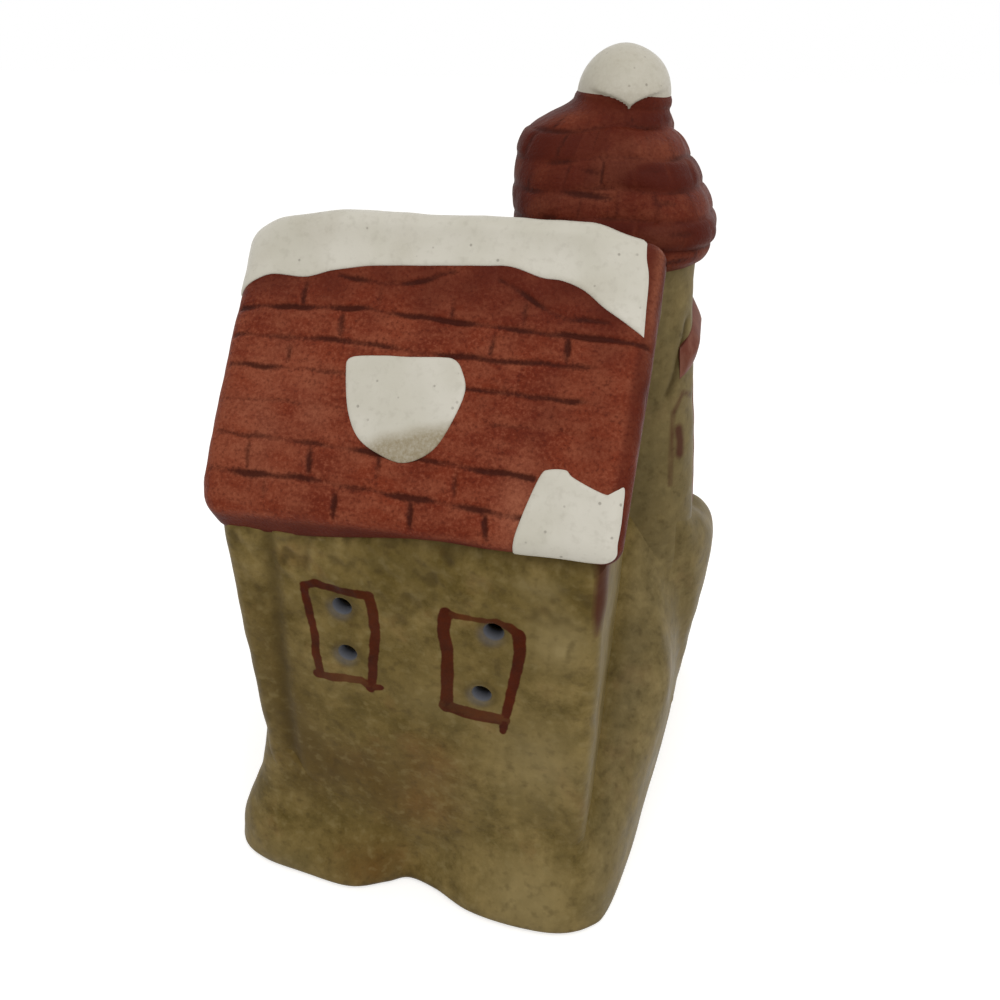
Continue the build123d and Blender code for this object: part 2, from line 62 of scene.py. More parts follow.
# Gable roof: two slopes from a soft ridge to round eave noses
RIDGE_Y = WALL_DEPTH / 2
RIDGE_HEIGHT = roof_high[2] + 1.0
ROOF_HALF = (roof_high[0] - roof_low[0]) / 2
EAVE_HEIGHT = 83.0
EAVE_REACH = 2.5
ROOF_THICK = 6.0
RIDGE_ROUND = 2.0
EAVE_ROUND = 2.75
RAKE_ROUND = 2.6
ROOF_LEFT_EXTRA = 1.2
PITCH = math.atan2(RIDGE_HEIGHT - EAVE_HEIGHT, RIDGE_Y + EAVE_REACH)
SLOPE = math.hypot(RIDGE_HEIGHT - EAVE_HEIGHT, RIDGE_Y + EAVE_REACH)
SNOW_THICK = 0.35
SNOW_EDGE = 0.9
SNOW_SINK = 0.5
PATCH_RINGS = 26

# Tower behind the right half of the house
TOWER_LEFT = tower_low[0] - HOUSE_PLACE[0]
TOWER_FRONT = tower_low[1] - HOUSE_PLACE[1]
TOWER_TOP = tower_high[2]
TOWER_CORNER = 9.0
TOWER_SKEW = 0.08
TOWER_LAP = 4.0
TOWER_ROWS = 150
TOWER_INNER_ROWS = 6
TOWER_HEIGHTS = (FLOOR_TOP, 60.9, TOWER_TOP)
TOWER_RIGHTS = (44.4, 42.3, 36.6)
TOWER_BACKS = (76.0, 73.5, 71.0)
BALL_RADIUS = (ball_high[0] - ball_low[0]) / 2 + 0.1
BALL_X = 21.45
BALL_Y = (ball_low[1] + ball_high[1]) / 2 - HOUSE_PLACE[1]
BALL_CENTRE = np.array([BALL_X, BALL_Y, ball_high[2] - BALL_RADIUS])

# Light unit's hole and the vent in the floor
LAMP_HOLE = 36.2
FOOT_RECESS = 6.0
FOOT_RIM = 7.0
RIM_ROUND = 0.8
VENT_PLACE = (20.64, 65.5)
VENT_DIAMETER = 12.0
DRILL_SIDES = 40

# Painted edges are stored as depth of ink: this many millimetres on the edge itself, nothing far away
INK_EDGE = 1.5


# Shape helpers


def spline(points, count, closed=False):
    """Smooth cubic curve through given points, its slope at each from the two neighbours, sampled evenly by
    point number."""
    points = np.asarray(points, float)
    last = len(points) - (0 if closed else 1)
    walk = np.linspace(0, last, count, endpoint=not closed)
    start = np.minimum(walk.astype(int), last - 1)
    part = (walk - start)[:, None]
    near = [start + step for step in (-1, 0, 1, 2)]
    near = [spot % len(points) if closed else np.clip(spot, 0, last) for spot in near]
    a, b, c, d = (points[spot] for spot in near)
    return b + 0.5 * part * (c - a + part * (2 * a - 5 * b + 4 * c - d + part * (3 * (b - c) + d - a)))


def soft_step(value, low, high):
    """0 below low, 1 above high and the smooth cubic between them."""
    part = np.clip((value - low) / (high - low), 0, 1)
    return part * part * (3 - 2 * part)


def lumps(places, size, seed):
    """Unevenness of hand-pressed clay, about -1 to 1: eight sine waves of about one size in seeded
    directions."""
    draw = np.random.default_rng(seed)
    aim = draw.normal(size=(8, 3))
    aim /= np.linalg.norm(aim, axis=1, keepdims=True)
    wave = 2 * np.pi / (size * draw.uniform(0.7, 1.4, 8))
    phase = draw.uniform(0, 2 * np.pi, 8)
    return 2 * np.sin(places @ (aim * wave[:, None]).T + phase).mean(-1)


def gap_to_line(across, up, line):
    """Distance from each place to a broken line, and the share of the line where it is nearest."""
    line = np.asarray(line, float)
    start, step = line[:-1], np.diff(line, axis=0)
    reach = np.stack([across, up], -1)[..., None, :] - start
    part = np.clip((reach * step).sum(-1) / (step * step).sum(-1), 0, 1)
    gap = np.linalg.norm(reach - part[..., None] * step, axis=-1)
    nearest = gap.argmin(-1)[..., None]
    share = np.take_along_axis(part, nearest, -1) + nearest
    return np.take_along_axis(gap, nearest, -1)[..., 0], share[..., 0] / len(step)


def ink(gap):
    """Depth of ink from the distance outside a painted edge."""
    return np.clip(INK_EDGE - gap, 0, 2 * INK_EDGE)


def ring_template(counts, corner):
    """Unit rounded rectangle, anticlockwise from its front left: shares of the sides, and normals."""
    stops = np.array([[0, 0], [1, 0], [1, 1], [0, 1], [0, 0]], float)
    shares, angles = [], []
    for side, count in enumerate(counts):
        run = np.linspace(0, 1, count, endpoint=False)[:, None]
        heading = (side - 1) * np.pi / 2
        along = stops[side] + run * (stops[side + 1] - stops[side])
        shares += [along, np.repeat(stops[side + 1][None], corner, 0)]
        angles += [np.full(count, heading), heading + np.linspace(0, np.pi / 2, corner, endpoint=False)]
    angle = np.concatenate(angles)
    return np.concatenate(shares), np.stack([np.cos(angle), np.sin(angle)], -1)


def ring_places(template, low, high, radius):
    """Rows of rounded rectangles: low corner + radius x (1 + normal) + straight length x share."""
    shares, normals = template
    low, high = np.asarray(low, float), np.asarray(high, float)
    radius = np.asarray(radius, float)[..., None]
    straight = (high - low - 2 * radius)[..., None, :]
    return low[..., None, :] + radius[..., None] * (1 + normals) + straight * shares


def at_height(plan, height):
    """Places (x, y) lifted to their heights."""
    height = np.asarray(height, float)
    shape = np.broadcast_shapes(plan.shape[:-1], height.shape)
    plan = np.broadcast_to(plan, shape + (2,))
    return np.concatenate([plan, np.broadcast_to(height, shape)[..., None]], -1)


def grid_normals(places):
    """Outward normals of a grid whose columns close round: step round crossed with step along."""
    normal = np.cross(np.roll(places, -1, 1) - np.roll(places, 1, 1), np.gradient(places, axis=0))
    return normal / np.maximum(np.linalg.norm(normal, axis=-1, keepdims=True), 1e-9)


def weave(index):
    """Four-cornered faces between neighbouring rows and columns of numbered places."""
    return np.stack([index[:-1, :-1], index[:-1, 1:], index[1:, 1:], index[1:, :-1]], -1).reshape(-1, 4)


def make_piece(name, places, corners, fields=None):
    """Object from numbered places and faces: unused places drop out and doubled corners leave triangles."""
    used, corners = np.unique(corners, return_inverse=True)
    corners = corners.reshape(-1, 4)
    apart = corners != np.roll(corners, -1, 1)
    three = apart.sum(1) == 3
    faces = corners[apart.all(1)].tolist() + corners[three][apart[three]].reshape(-1, 3).tolist()
    mesh = bpy.data.meshes.new(name)
    mesh.from_pydata(((places.reshape(-1, 3)[used] + HOUSE_PLACE) * MM).tolist(), [], faces)
    for field, values in (fields or {}).items():
        layer = mesh.attributes.new(field, "FLOAT", "POINT")
        layer.data.foreach_set("value", np.asarray(values, np.float32).ravel()[used])
    piece = bpy.data.objects.new(name, mesh)
    bpy.context.scene.collection.objects.link(piece)
    return piece


def skin(name, places, fields=None, rows_meet=False, first="open", last="open", merged=None):
    """Closed grid: columns close round; rows meet too, shrink to a pole or zip shut on the mirrored column.
    Columns that are given the same number in merged become one, which leaves hidden sides coarser."""
    rows, columns = places.shape[:2]
    index = np.arange(rows * columns).reshape(rows, columns)
    order = np.arange(columns)
    folds = {"open": order, "pole": 0 * order, "zip": np.minimum(order, (columns - order) % columns)}
    if merged is not None:
        index[1:-1] = index[1:-1][:, merged]
    index[0] = index[0, folds[first]]
    index[-1] = index[-1, folds[last]]
    index = np.hstack([index, index[:, :1]])
    if rows_meet:
        index = np.vstack([index, index[:1]])
    return make_piece(name, places, weave(index), fields)


def pillow(name, top, bottom, fields=None):
    """Closed sheet: a top and a bottom grid that share their rim; the faces at its corners are halved through
    the corner, so that top and bottom never share a flat triangle there."""
    rows, columns = top.shape[:2]
    upper = np.arange(rows * columns).reshape(rows, columns)
    lower = upper + rows * columns
    lower[[0, -1]] = upper[[0, -1]]
    lower[:, [0, -1]] = upper[:, [0, -1]]
    doubled = {field: np.tile(values.ravel(), 2) for field, values in (fields or {}).items()}
    places = np.concatenate([top.reshape(-1, 3), bottom.reshape(-1, 3)])
    faces = np.concatenate([weave(upper), weave(lower)[:, ::-1]])
    on_rim = np.isin(faces, np.concatenate([upper[[0, -1]].ravel(), upper[:, [0, -1]].ravel()]))
    cornered = on_rim.sum(1) == 3
    order = (on_rim[cornered].argmin(1)[:, None] + np.arange(4)) % 4
    split = np.take_along_axis(faces[cornered], order, 1)
    faces = np.concatenate([faces[~cornered], split[:, [0, 1, 2, 2]], split[:, [0, 2, 3, 3]]])
    return make_piece(name, places, faces, doubled)


def drill(piece, profile, centre, axis):
    """Takes a turned solid out of a piece for good: (radius, height) rows carried round an axis, 1 along y
    and 2 along z."""
    turn = np.linspace(0, 2 * np.pi, DRILL_SIDES, endpoint=False)
    radius, height = np.asarray(profile, float).T[..., None]
    places = at_height(np.stack([radius * np.cos(turn), radius * np.sin(turn)], -1), height)
    if axis == 1:
        places = places[..., [0, 2, 1]][:, ::-1]
    cutter = skin("cutter", places + np.asarray(centre, float), first="pole", last="pole")
    carve = piece.modifiers.new("carve", "BOOLEAN")
    carve.operation = "DIFFERENCE"
    carve.solver = "EXACT"
    carve.object = cutter
    bpy.context.view_layer.update()
    carved = bpy.data.meshes.new_from_object(piece.evaluated_get(bpy.context.evaluated_depsgraph_get()))
    piece.modifiers.clear()
    piece.data = carved
    bpy.data.objects.remove(cutter)


def paint_field(piece, field, values):
    """Stores one number per vertex."""
    layer = piece.data.attributes.new(field, "FLOAT", "POINT")
    layer.data.foreach_set("value", np.asarray(values, np.float32).ravel())


def vertex_places(piece):
    """Vertices of a piece in the house frame."""
    flat = np.empty(len(piece.data.vertices) * 3, np.float32)
    piece.data.vertices.foreach_get("co", flat)
    return flat.reshape(-1, 3).astype(float) / MM - HOUSE_PLACE


def settle(piece, finish, nodes, crease=42):
    """Smooth shading with creases, the finish, and the piece's place in the model."""
    piece.data.materials.clear()
    piece.data.materials.append(finish)
    piece.data.shade_smooth()
    piece.data.set_sharp_from_angle(angle=math.radians(crease))
    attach(piece, "house")
    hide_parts(*nodes)
    return piece


# Finishes

# Ways in which a coat grows from nothing to its full strength
EVEN, SOFT = "LINEAR", "SMOOTHSTEP"


def colour(code):
    """Linear red, green, blue and 1 from an sRGB hex value."""
    share = np.array([int(code[i:i + 2], 16) for i in (0, 2, 4)]) / 255
    linear = np.where(share <= 0.04045, share / 12.92, ((share + 0.055) / 1.055) ** 2.4)
    return (*linear.tolist(), 1.0)


def grain(size):
    """Scale of a pattern on metre coordinates for a feature of this many millimetres."""
    return 1 / (size * MM)


def add(tree, kind, inputs=None, out=0, **settings):
    """Adds one node with its settings; each input is a value or the socket that feeds it.
    Gives one output, or the node itself where out is None."""
    made = tree.nodes.new(kind)
    for name, value in settings.items():
        setattr(made, name, value)
    for key, value in (inputs or {}).items():
        if isinstance(value, bpy.types.NodeSocket):
            tree.links.new(value, made.inputs[key])
        else:
            made.inputs[key].default_value = value
    return made if out is None else made.outputs[out]


def new_finish(name):
    """Empty material with its node tree and the object's own coordinates."""
    finish = bpy.data.materials.new(name)
    finish.use_nodes = True
    tree = finish.node_tree
    tree.nodes.clear()
    return finish, tree, add(tree, "ShaderNodeTexCoord", out="Object")


def read_patterns(tree, noises, fields=()):
    """Patterns by name: noises of (name, place, size in mm, detail, roughness), and fields of the mesh."""
    found = {}
    for name, place, size, detail, rough in noises:
        inputs = {"Vector": place, "Scale": grain(size), "Detail": detail, "Roughness": rough}
        found[name] = add(tree, "ShaderNodeTexNoise", inputs)
    for name in fields:
        found[name] = add(tree, "ShaderNodeAttribute", out="Fac", attribute_name=name)
    return found


def coats(tree, ground, layers):
    """Coats over a ground: (pattern, its value where the coat starts and where it is full, strength, hex,
    ramp)."""
    for pattern, start, full, strength, code, ramp in layers:
        inputs = {0: pattern, 1: start, 2: full, 3: 0.0, 4: strength}
        part = add(tree, "ShaderNodeMapRange", inputs, interpolation_type=ramp)
        ground = add(tree, "ShaderNodeMix", {0: part, 6: ground, 7: colour(code)}, 2, data_type="RGBA")
    return ground


def close_finish(finish, tree, done, gloss, rough, height, press, depth, surface):
    """Sends the colour to the surface: a pattern sets the roughness between two values, the height presses
    a bump of a depth in mm, and the other shader values are as given."""
    worn = add(tree, "ShaderNodeMapRange", {0: gloss, 1: 0.3, 2: 0.7, 3: rough[0], 4: rough[1]})
    bump = add(tree, "ShaderNodeBump", {"Strength": press, "Distance": depth * MM, "Height": height})
    inputs = {"Base Color": done, "Roughness": worn, "Normal": bump, **surface}
    shader = add(tree, "ShaderNodeBsdfPrincipled", inputs)
    add(tree, "ShaderNodeOutputMaterial", {"Surface": shader}, None)
    return finish


def khaki_glaze():
    """Khaki stoneware glaze: brushed on clay, so it clouds softly, runs downward, pools dark in hollows and
    shows specks, and painted shade darkens its grooves and hollows too; the mesh says where red strokes,
    smears and bare clay lie."""
    finish, tree, place = new_finish("khaki_stoneware_glaze")
    run_place = add(tree, "ShaderNodeMapping", {"Vector": place, "Scale": (1.0, 1.0, 0.16)})
    noises = (
        ("cloud", place, 20, 4.0, 0.55), ("patch", place, 5.5, 8.0, 0.72), ("fine", place, 1.9, 2.0, 0.5),
        ("runs", run_place, 2.6, 3.0, 0.5), ("blotch", place, 10, 5.0, 0.65),
    )
    fields = ("rust", "tone", "pale_grey_and_painted_light", "pooled_glaze_and_shade", "frame_ink", "frame_load", "smear_ink", "bare_clay")
    see = read_patterns(tree, noises, fields)
    glazed = coats(tree, colour("726035"), (
        (see["cloud"], 0.35, 0.65, 1.0, "877447", SOFT),
        (see["patch"], 0.63, 0.34, 1.0, "54451d", EVEN),
        (see["blotch"], 0.54, 0.7, 0.35, "73532e", SOFT),
        (see["blotch"], 0.46, 0.3, 0.35, "594e2b", SOFT),
        (see["rust"], 0.0, 1.0, 1.0, "6a4722", EVEN),
        # Spots of thin and thick glaze, with a painted glint, sheen and shade
        (see["tone"], 0.0, 1.0, 1.0, "948359", EVEN),
        (see["tone"], 0.0, -1.0, 1.0, "4d3b17", EVEN),
        # Paler and greyer: painted light on the right side of the walls and bank, and the whole tower
        (see["pale_grey_and_painted_light"], 0.0, 1.0, 1.0, "7f7458", EVEN),
        (see["runs"], 0.36, 0.66, 0.28, "5d4f2c", EVEN),
        (see["fine"], 0.56, 0.74, 0.38, "3d3019", EVEN),
        (see["fine"], 0.45, 0.27, 0.3, "8e7e55", EVEN),
        # Pooled glaze and painted shade
        (see["pooled_glaze_and_shade"], 0.0, 1.0, 1.0, "3f3218", EVEN),
    ))
    brush = coats(tree, colour("300e01"), (
        (see["patch"], 0.34, 0.63, 1.0, "4c1a03", EVEN),
        (see["frame_load"], 1.0, 0.0, 1.0, "5a3015", EVEN),
    ))
    inputs = {0: see["fine"], 1: 0.5, 2: see["frame_ink"]}
    ragged = add(tree, "ShaderNodeMath", inputs, operation="MULTIPLY_ADD")
    edge = {0: ragged, 1: INK_EDGE + 0.12, 2: INK_EDGE + 0.42}
    stroke = add(tree, "ShaderNodeMapRange", edge, interpolation_type=SOFT)
    cover = add(tree, "ShaderNodeMath", {0: see["frame_load"], 1: 0.3, 2: 0.7}, operation="MULTIPLY_ADD")
    covered = add(tree, "ShaderNodeMath", {0: stroke, 1: cover}, operation="MULTIPLY")
    framed = add(tree, "ShaderNodeMix", {0: covered, 6: glazed, 7: brush}, 2, data_type="RGBA")
    done = coats(tree, framed, (
        (see["smear_ink"], INK_EDGE - 0.5, INK_EDGE + 0.5, 0.85, "47211a", EVEN),
        (see["bare_clay"], 0.0, 1.0, 1.0, "606269", EVEN),
    ))
    height = add(tree, "ShaderNodeMath", {0: see["patch"], 1: 1.6, 2: see["fine"]}, operation="MULTIPLY_ADD")
    surface = {"IOR": 1.5, "Specular IOR Level": 0.05}
    return close_finish(finish, tree, done, see["patch"], (0.36, 0.52), height, 0.5, 0.12, surface)


def terracotta_paint():
    """Terracotta underglaze brushed over incised clay: streaks along the courses, grains, dark cuts, rubbed
    edges and a painted highlight along the right rake; the mesh says where painted shade lies."""
    finish, tree, place = new_finish("terracotta_underglaze")
    streak_place = add(tree, "ShaderNodeMapping", {"Vector": place, "Scale": (0.5, 1.0, 1.0)})
    noises = (
        ("streak", streak_place, 2.4, 4.0, 0.6), ("cloud", place, 12, 3.0, 0.5),
        ("fine", place, 0.55, 3.0, 0.7),
    )
    see = read_patterns(tree, noises, ("shade", "rub_and_highlight", "cut", "wash"))
    worn = add(tree, "ShaderNodeMapRange", {0: see["fine"], 1: 0.35, 2: 0.65, 3: 0.9, 4: 0.45})
    rub_and_highlight_part = add(tree, "ShaderNodeMath", {0: see["rub_and_highlight"], 1: worn}, operation="MULTIPLY")
    ragged = add(tree, "ShaderNodeMath", {0: see["fine"], 1: 0.45, 2: see["cut"]}, operation="MULTIPLY_ADD")
    done = coats(tree, colour("642311"), (
        (see["cloud"], 0.35, 0.65, 1.0, "76301a", SOFT),
        (see["streak"], 0.36, 0.68, 0.8, "85452f", SOFT),
        (see["fine"], 0.52, 0.68, 0.65, "4c180b", EVEN),
        (see["fine"], 0.48, 0.32, 0.5, "95543c", EVEN),
        (see["shade"], 0.0, 1.0, 1.0, "4a170b", EVEN),
        # Rubbed paint, and the painted highlight along the right rake
        (rub_and_highlight_part, 0.0, 1.0, 1.0, "985a42", EVEN),
        (ragged, 0.34, 1.0, 0.88, "340f06", SOFT),
        (see["wash"], 0.0, 1.0, 1.0, "6f6140", EVEN),
    ))
    height = add(tree, "ShaderNodeMath", {0: see["streak"], 1: 1.2, 2: see["fine"]}, operation="MULTIPLY_ADD")
    surface = {"IOR": 1.5, "Specular IOR Level": 0.07}
    return close_finish(finish, tree, done, see["streak"], (0.42, 0.6), height, 0.8, 0.2, surface)


def dusty_red_paint():
    """Thin dusty red wash over khaki clay: brushed by hand, so the ground shows through in strokes."""
    finish, tree, place = new_finish("dusty_red_wash")
    streak_place = add(tree, "ShaderNodeMapping", {"Vector": place, "Scale": (1.0, 1.0, 0.3)})
    noises = (("streak", streak_place, 1.8, 5.0, 0.65), ("patch", place, 5, 3.0, 0.5))
    see = read_patterns(tree, noises, ("cut",))
    done = coats(tree, colour("663629"), (
        (see["streak"], 0.35, 0.68, 1.0, "794d3e", SOFT),
        (see["patch"], 0.56, 0.72, 0.5, "65502f", EVEN),
        (see["cut"], 0.0, 1.0, 1.0, "301409", EVEN),
    ))
    surface = {"IOR": 1.5, "Specular IOR Level": 0.1}
    return close_finish(finish, tree, done, see["streak"], (0.4, 0.58), see["streak"], 0.5, 0.12, surface)


def white_glaze():
    """White tin glaze on pale clay: creamy, softly glossy, with grey pinholes, specks and a dark rub that is
    dirt on the roof's snow and painted shade on the ball.
    """
    finish, tree, place = new_finish("white_tin_glaze")
    noises = (
        ("cloud", place, 13, 4.0, 0.5), ("fine", place, 1.2, 3.0, 0.6), ("pick", place, 5.0, 1.0, 0.5),
        ("dust", place, 0.5, 3.0, 0.7),
    )
    see = read_patterns(tree, noises, ("dirt_and_shade",))
    pits = add(tree, "ShaderNodeTexVoronoi", {"Vector": place, "Scale": grain(2.0), "Randomness": 1.0})
    hole = add(tree, "ShaderNodeMapRange", {0: pits, 1: 0.14, 2: 0.07})
    chosen = add(tree, "ShaderNodeMapRange", {0: see["pick"], 1: 0.38, 2: 0.5, 3: 0.0, 4: 0.8})
    pitted = add(tree, "ShaderNodeMath", {0: hole, 1: chosen}, operation="MULTIPLY")
    ragged = add(tree, "ShaderNodeMapRange", {0: see["dust"], 1: 0.35, 2: 0.65, 3: 0.65, 4: 1.0})
    dirt_and_shade_part = add(tree, "ShaderNodeMath", {0: see["dirt_and_shade"], 1: ragged}, operation="MULTIPLY")
    done = coats(tree, colour("c2beb0"), (
        (see["cloud"], 0.35, 0.65, 1.0, "ccc8bc", SOFT),
        (see["fine"], 0.52, 0.72, 0.25, "a29d8f", EVEN),
        (pitted, 0.0, 1.0, 1.0, "948f84", EVEN),
        # Dirt on the roof's snow, painted shade on the ball
        (dirt_and_shade_part, 0.0, 1.0, 1.0, "81714f", EVEN),
    ))
    height = add(tree, "ShaderNodeMath", {0: pitted, 1: -2.0, 2: see["fine"]}, operation="MULTIPLY_ADD")
    surface = {"IOR": 1.5, "Specular IOR Level": 0.25}
    return close_finish(finish, tree, done, see["fine"], (0.3, 0.42), height, 0.35, 0.1, surface)


KHAKI = khaki_glaze()
TERRACOTTA = terracotta_paint()
DUSTY_RED = dusty_red_paint()
WHITE = white_glaze()


# Clay that every wall shares, so that touching skins swell alike


def clay_swell(places):
    """Hand-pressed unevenness in millimetres: broad lumps and small ones."""
    return 0.22 * lumps(places, 19, 3) + 0.1 * lumps(places, 7, 5)


# Gable roof chart: x along the ridge with round rakes, s down the slope with round eaves

FLAT_RIGHT = ROOF_HALF - RAKE_ROUND
FLAT_LEFT = -ROOF_HALF - ROOF_LEFT_EXTRA + RAKE_ROUND
FLAT_SLOPE = SLOPE - EAVE_ROUND
RIDGE_BEND = RIDGE_ROUND * math.tan(PITCH)
# Grid steps down the front and the back and along the ridge; columns of the underside that become one
FRONT_STEP = 0.28
BACK_STEP = 0.5
RIDGE_STEP = 0.33
UNDER_GROUP = 5


def roof_line(s):
    """Section (y, z) and normal at a way s down from the sharp ridge, front positive: arc, slope, nose arc
    and end face."""
    way, side = np.abs(s), np.where(s < 0, -1.0, 1.0)
    lean = np.clip(way / RIDGE_BEND, 0, 1) * PITCH
    top = RIDGE_HEIGHT - RIDGE_ROUND / math.cos(PITCH)
    down = np.clip(way, RIDGE_BEND, FLAT_SLOPE)
    flat = np.stack([-down * math.cos(PITCH), RIDGE_HEIGHT - down * math.sin(PITCH)], -1)
    bend = np.stack([-RIDGE_ROUND * np.sin(lean), top + RIDGE_ROUND * np.cos(lean)], -1)
    place = np.where((way < RIDGE_BEND)[..., None], bend, flat)
    square = np.stack([-np.sin(lean), np.cos(lean)], -1)
    onward = np.stack([-np.cos(lean), -np.sin(lean)], -1)
    past = np.maximum(way - FLAT_SLOPE, 0)
    turn = np.clip(past / EAVE_ROUND, 0, np.pi / 2)[..., None]
    drop = np.maximum(past - EAVE_ROUND * np.pi / 2, 0)[..., None]
    place = place + EAVE_ROUND * (np.sin(turn) * onward - (1 - np.cos(turn)) * square) - drop * square
    normal = np.cos(turn) * square + np.sin(turn) * onward
    flip = np.stack([side, np.ones_like(side)], -1)
    return place * flip + np.array([RIDGE_Y, 0.0]), normal * flip


def rake_turn(x):
    """Angle round the rake edge, x itself and depth below the slope for a way x along the ridge."""
    inner = np.clip(x, FLAT_LEFT, FLAT_RIGHT)
    turn = np.clip(np.abs(x - inner) / RAKE_ROUND, 0, np.pi / 2)
    return turn, inner + np.sign(x) * RAKE_ROUND * np.sin(turn), RAKE_ROUND * (1 - np.cos(turn))


def roof_swell(places):
    """Unevenness of the roof slab."""
    return 0.16 * lumps(places, 17, 11) + 0.06 * lumps(places, 5.5, 12)


def roof_sag(places):
    """Soft corners of the slab: both ridge ends sink, the eaves sag and the front eave's lower edge hangs at
    the left; the left end stands out toward the ridge and draws in at the eaves, and the right end stands
    out a little at the ridge."""
    x, y, z = np.moveaxis(places, -1, 0)
    near_ridge = np.exp(-((y - RIDGE_Y) / 9) ** 2)
    reach = np.abs(RIDGE_Y - y)
    left_drop = 1.4 * soft_step(-x, 16, 29) + 4.2 * soft_step(-x, 27, 37)
    drop = near_ridge * (left_drop + 1.5 * soft_step(x, 20, 34))
    drop = drop + soft_step(reach, 23, 31) * (0.7 + 1.3 * soft_step(-x, 8, 32))
    depth = (RIDGE_HEIGHT - reach * math.tan(PITCH) - z) * math.cos(PITCH)
    lip = 3.4 * soft_step(depth, 1.5, 4.5) * soft_step(reach, 24, 28) * soft_step(-x, -6, 18) * (y < RIDGE_Y)
    lip = lip * (1 - 0.85 * soft_step(-x, 29, 33))
    left_end = np.interp(reach, (0, 5, 9, 16, 22, 26, 31), (-1.5, -1.4, -0.95, -0.35, -0.3, -0.6, 1.2))
    right_end = np.interp(y - RIDGE_Y, (-30, -20, -10, 0, 8, 14), (0.0, 0.4, 0.8, 0.9, 0.5, -0.4))
    draw_in = soft_step(-x, 24, 33) * left_end + soft_step(x, 24, 31) * right_end
    return places + np.stack([draw_in, 0 * x, -drop - lip], -1)


def roof_point(x, s):
    """Places and normals on the smooth outer roof for chart ways x and s."""
    turn, across, depth = rake_turn(x)
    line, square = roof_line(s)
    line = line - depth[..., None] * square
    places = np.concatenate([across[..., None], line], -1)
    tilt = np.concatenate([(np.sign(x) * np.sin(turn))[..., None], np.cos(turn)[..., None] * square], -1)
    return roof_sag(places + roof_swell(places)[..., None] * tilt), tilt


# Courses cut into the roof: (depth share, line of (x, s))
COURSE_LINES = (
    (1.0, ((-16, 10.2), (-13.1, 10.7), (-9.6, 11), (-7.1, 11), (-4.3, 10.6), (-1.5, 9.7), (1.6, 8.5))),
    (1.0, ((9.1, 9.4), (12.8, 11.3), (15.8, 12.9), (17.2, 13.7), (19.6, 14.5), (22.2, 14.3), (25.3, 14.2))),
    (1.0, ((-31.3, 15.8), (-20.7, 15.6), (-10.2, 15.3), (2.2, 16.2), (13.2, 16.7), (26.5, 17), (31, 17.2))),
    (
        0.9,
        ((-31.3, 20.7), (-23.2, 20.7), (-15.2, 20.4), (-2.3, 21.3), (10.5, 21.5), (25.4, 21.3), (31, 21.4)),
    ),
    (0.8, ((-31.3, 25.7), (-16.2, 25.5), (6.9, 26.1), (14.2, 26.2), (25.2, 26.5), (31, 26.6))),
    (0.4, ((-31.3, 31.3), (-20.6, 30.7), (-6, 31.2), (6, 31.4), (18.9, 30.7), (31, 32))),
    (0.9, ((-31.3, 36.6), (-14.7, 36.7), (-5.7, 37.1), (3.3, 37.4), (11.5, 37.7), (18, 38))),
    (0.9, ((-31.3, 41.8), (-15.3, 41.8), (-5.1, 42.4), (7, 42.9), (15.1, 43.3), (18, 43.4))),
)
# Upright joints between them: (depth share, x, upper s, lower s)
UPRIGHT_JOINTS = (
    (0.9, -21.5, 10.8, 15.7), (1.0, -9.3, 11.1, 15.4), (0.9, 2.3, 11.3, 16.3), (0.8, 13.3, 11.9, 16.8),
    (0.9, -14.6, 15.6, 20.5), (0.9, 9.2, 16.5, 21.6), (1.0, 20.1, 16.9, 21.5), (0.8, -22.2, 20.8, 25.7),
    (0.5, 13.9, 21.6, 26.3), (1.0, 24.9, 21.4, 26.6), (0.4, 19.3, 26.5, 30.8), (0.3, -17.5, 25.6, 30.8),
    (0.3, -25, 30.8, 36.4), (0.3, 13.0, 31, 37.5), (0.9, -25.6, 36.4, 41.6), (1.0, -15.6, 36.5, 41.6),
    (1.0, -4.8, 36.9, 42.2), (1.0, 7.0, 37.3, 42.7), (0.5, -22.1, 41.6, 47.4), (0.9, -10.7, 41.9, 47.7),
    (0.9, 1.0, 42.4, 47.7), (0.9, 12.3, 42.9, 47.7),
)
CUT_WIDTH = 0.55
CUT_DEPTH = 0.45
JOINT_LEAN = 0.25
JOINT_TAPER = 0.7


def course_cuts(x, s):
    """Strength of the cuts: the most of all course lines and joints, each by the distance from a line that
    wavers. The tool's pressure comes and goes along it and fades toward a joint's ends, and a strip at the
    right is painted over."""
    way, across = np.abs(s), np.where(s < 0, -x, x)
    flat = np.stack([across, way, 0 * way], -1)
    way = way + 0.14 * lumps(flat, 5, 61)
    across = across + 0.14 * lumps(flat, 5, 62)
    press = np.clip(0.78 + 0.5 * lumps(flat, 7, 63), 0.4, 1.0)
    courses = [(share, line, 0.0) for share, line in COURSE_LINES]
    for share, post, upper, lower in UPRIGHT_JOINTS:
        courses.append((share, ((post, upper), (post + JOINT_LEAN, lower)), JOINT_TAPER))
    cuts = np.zeros_like(way)
    for share, line, taper in courses:
        gap, part = gap_to_line(across, way, line)
        strength = share * press * (1 - taper * (2 * part - 1) ** 2)
        cuts = np.maximum(cuts, strength * np.exp(-(gap / CUT_WIDTH) ** 2))
    painted_over = soft_step(across, 22, 26) * soft_step(way, 18.5, 20.5) * soft_step(way, 34, 31)
    return cuts * (1 - 0.85 * painted_over)


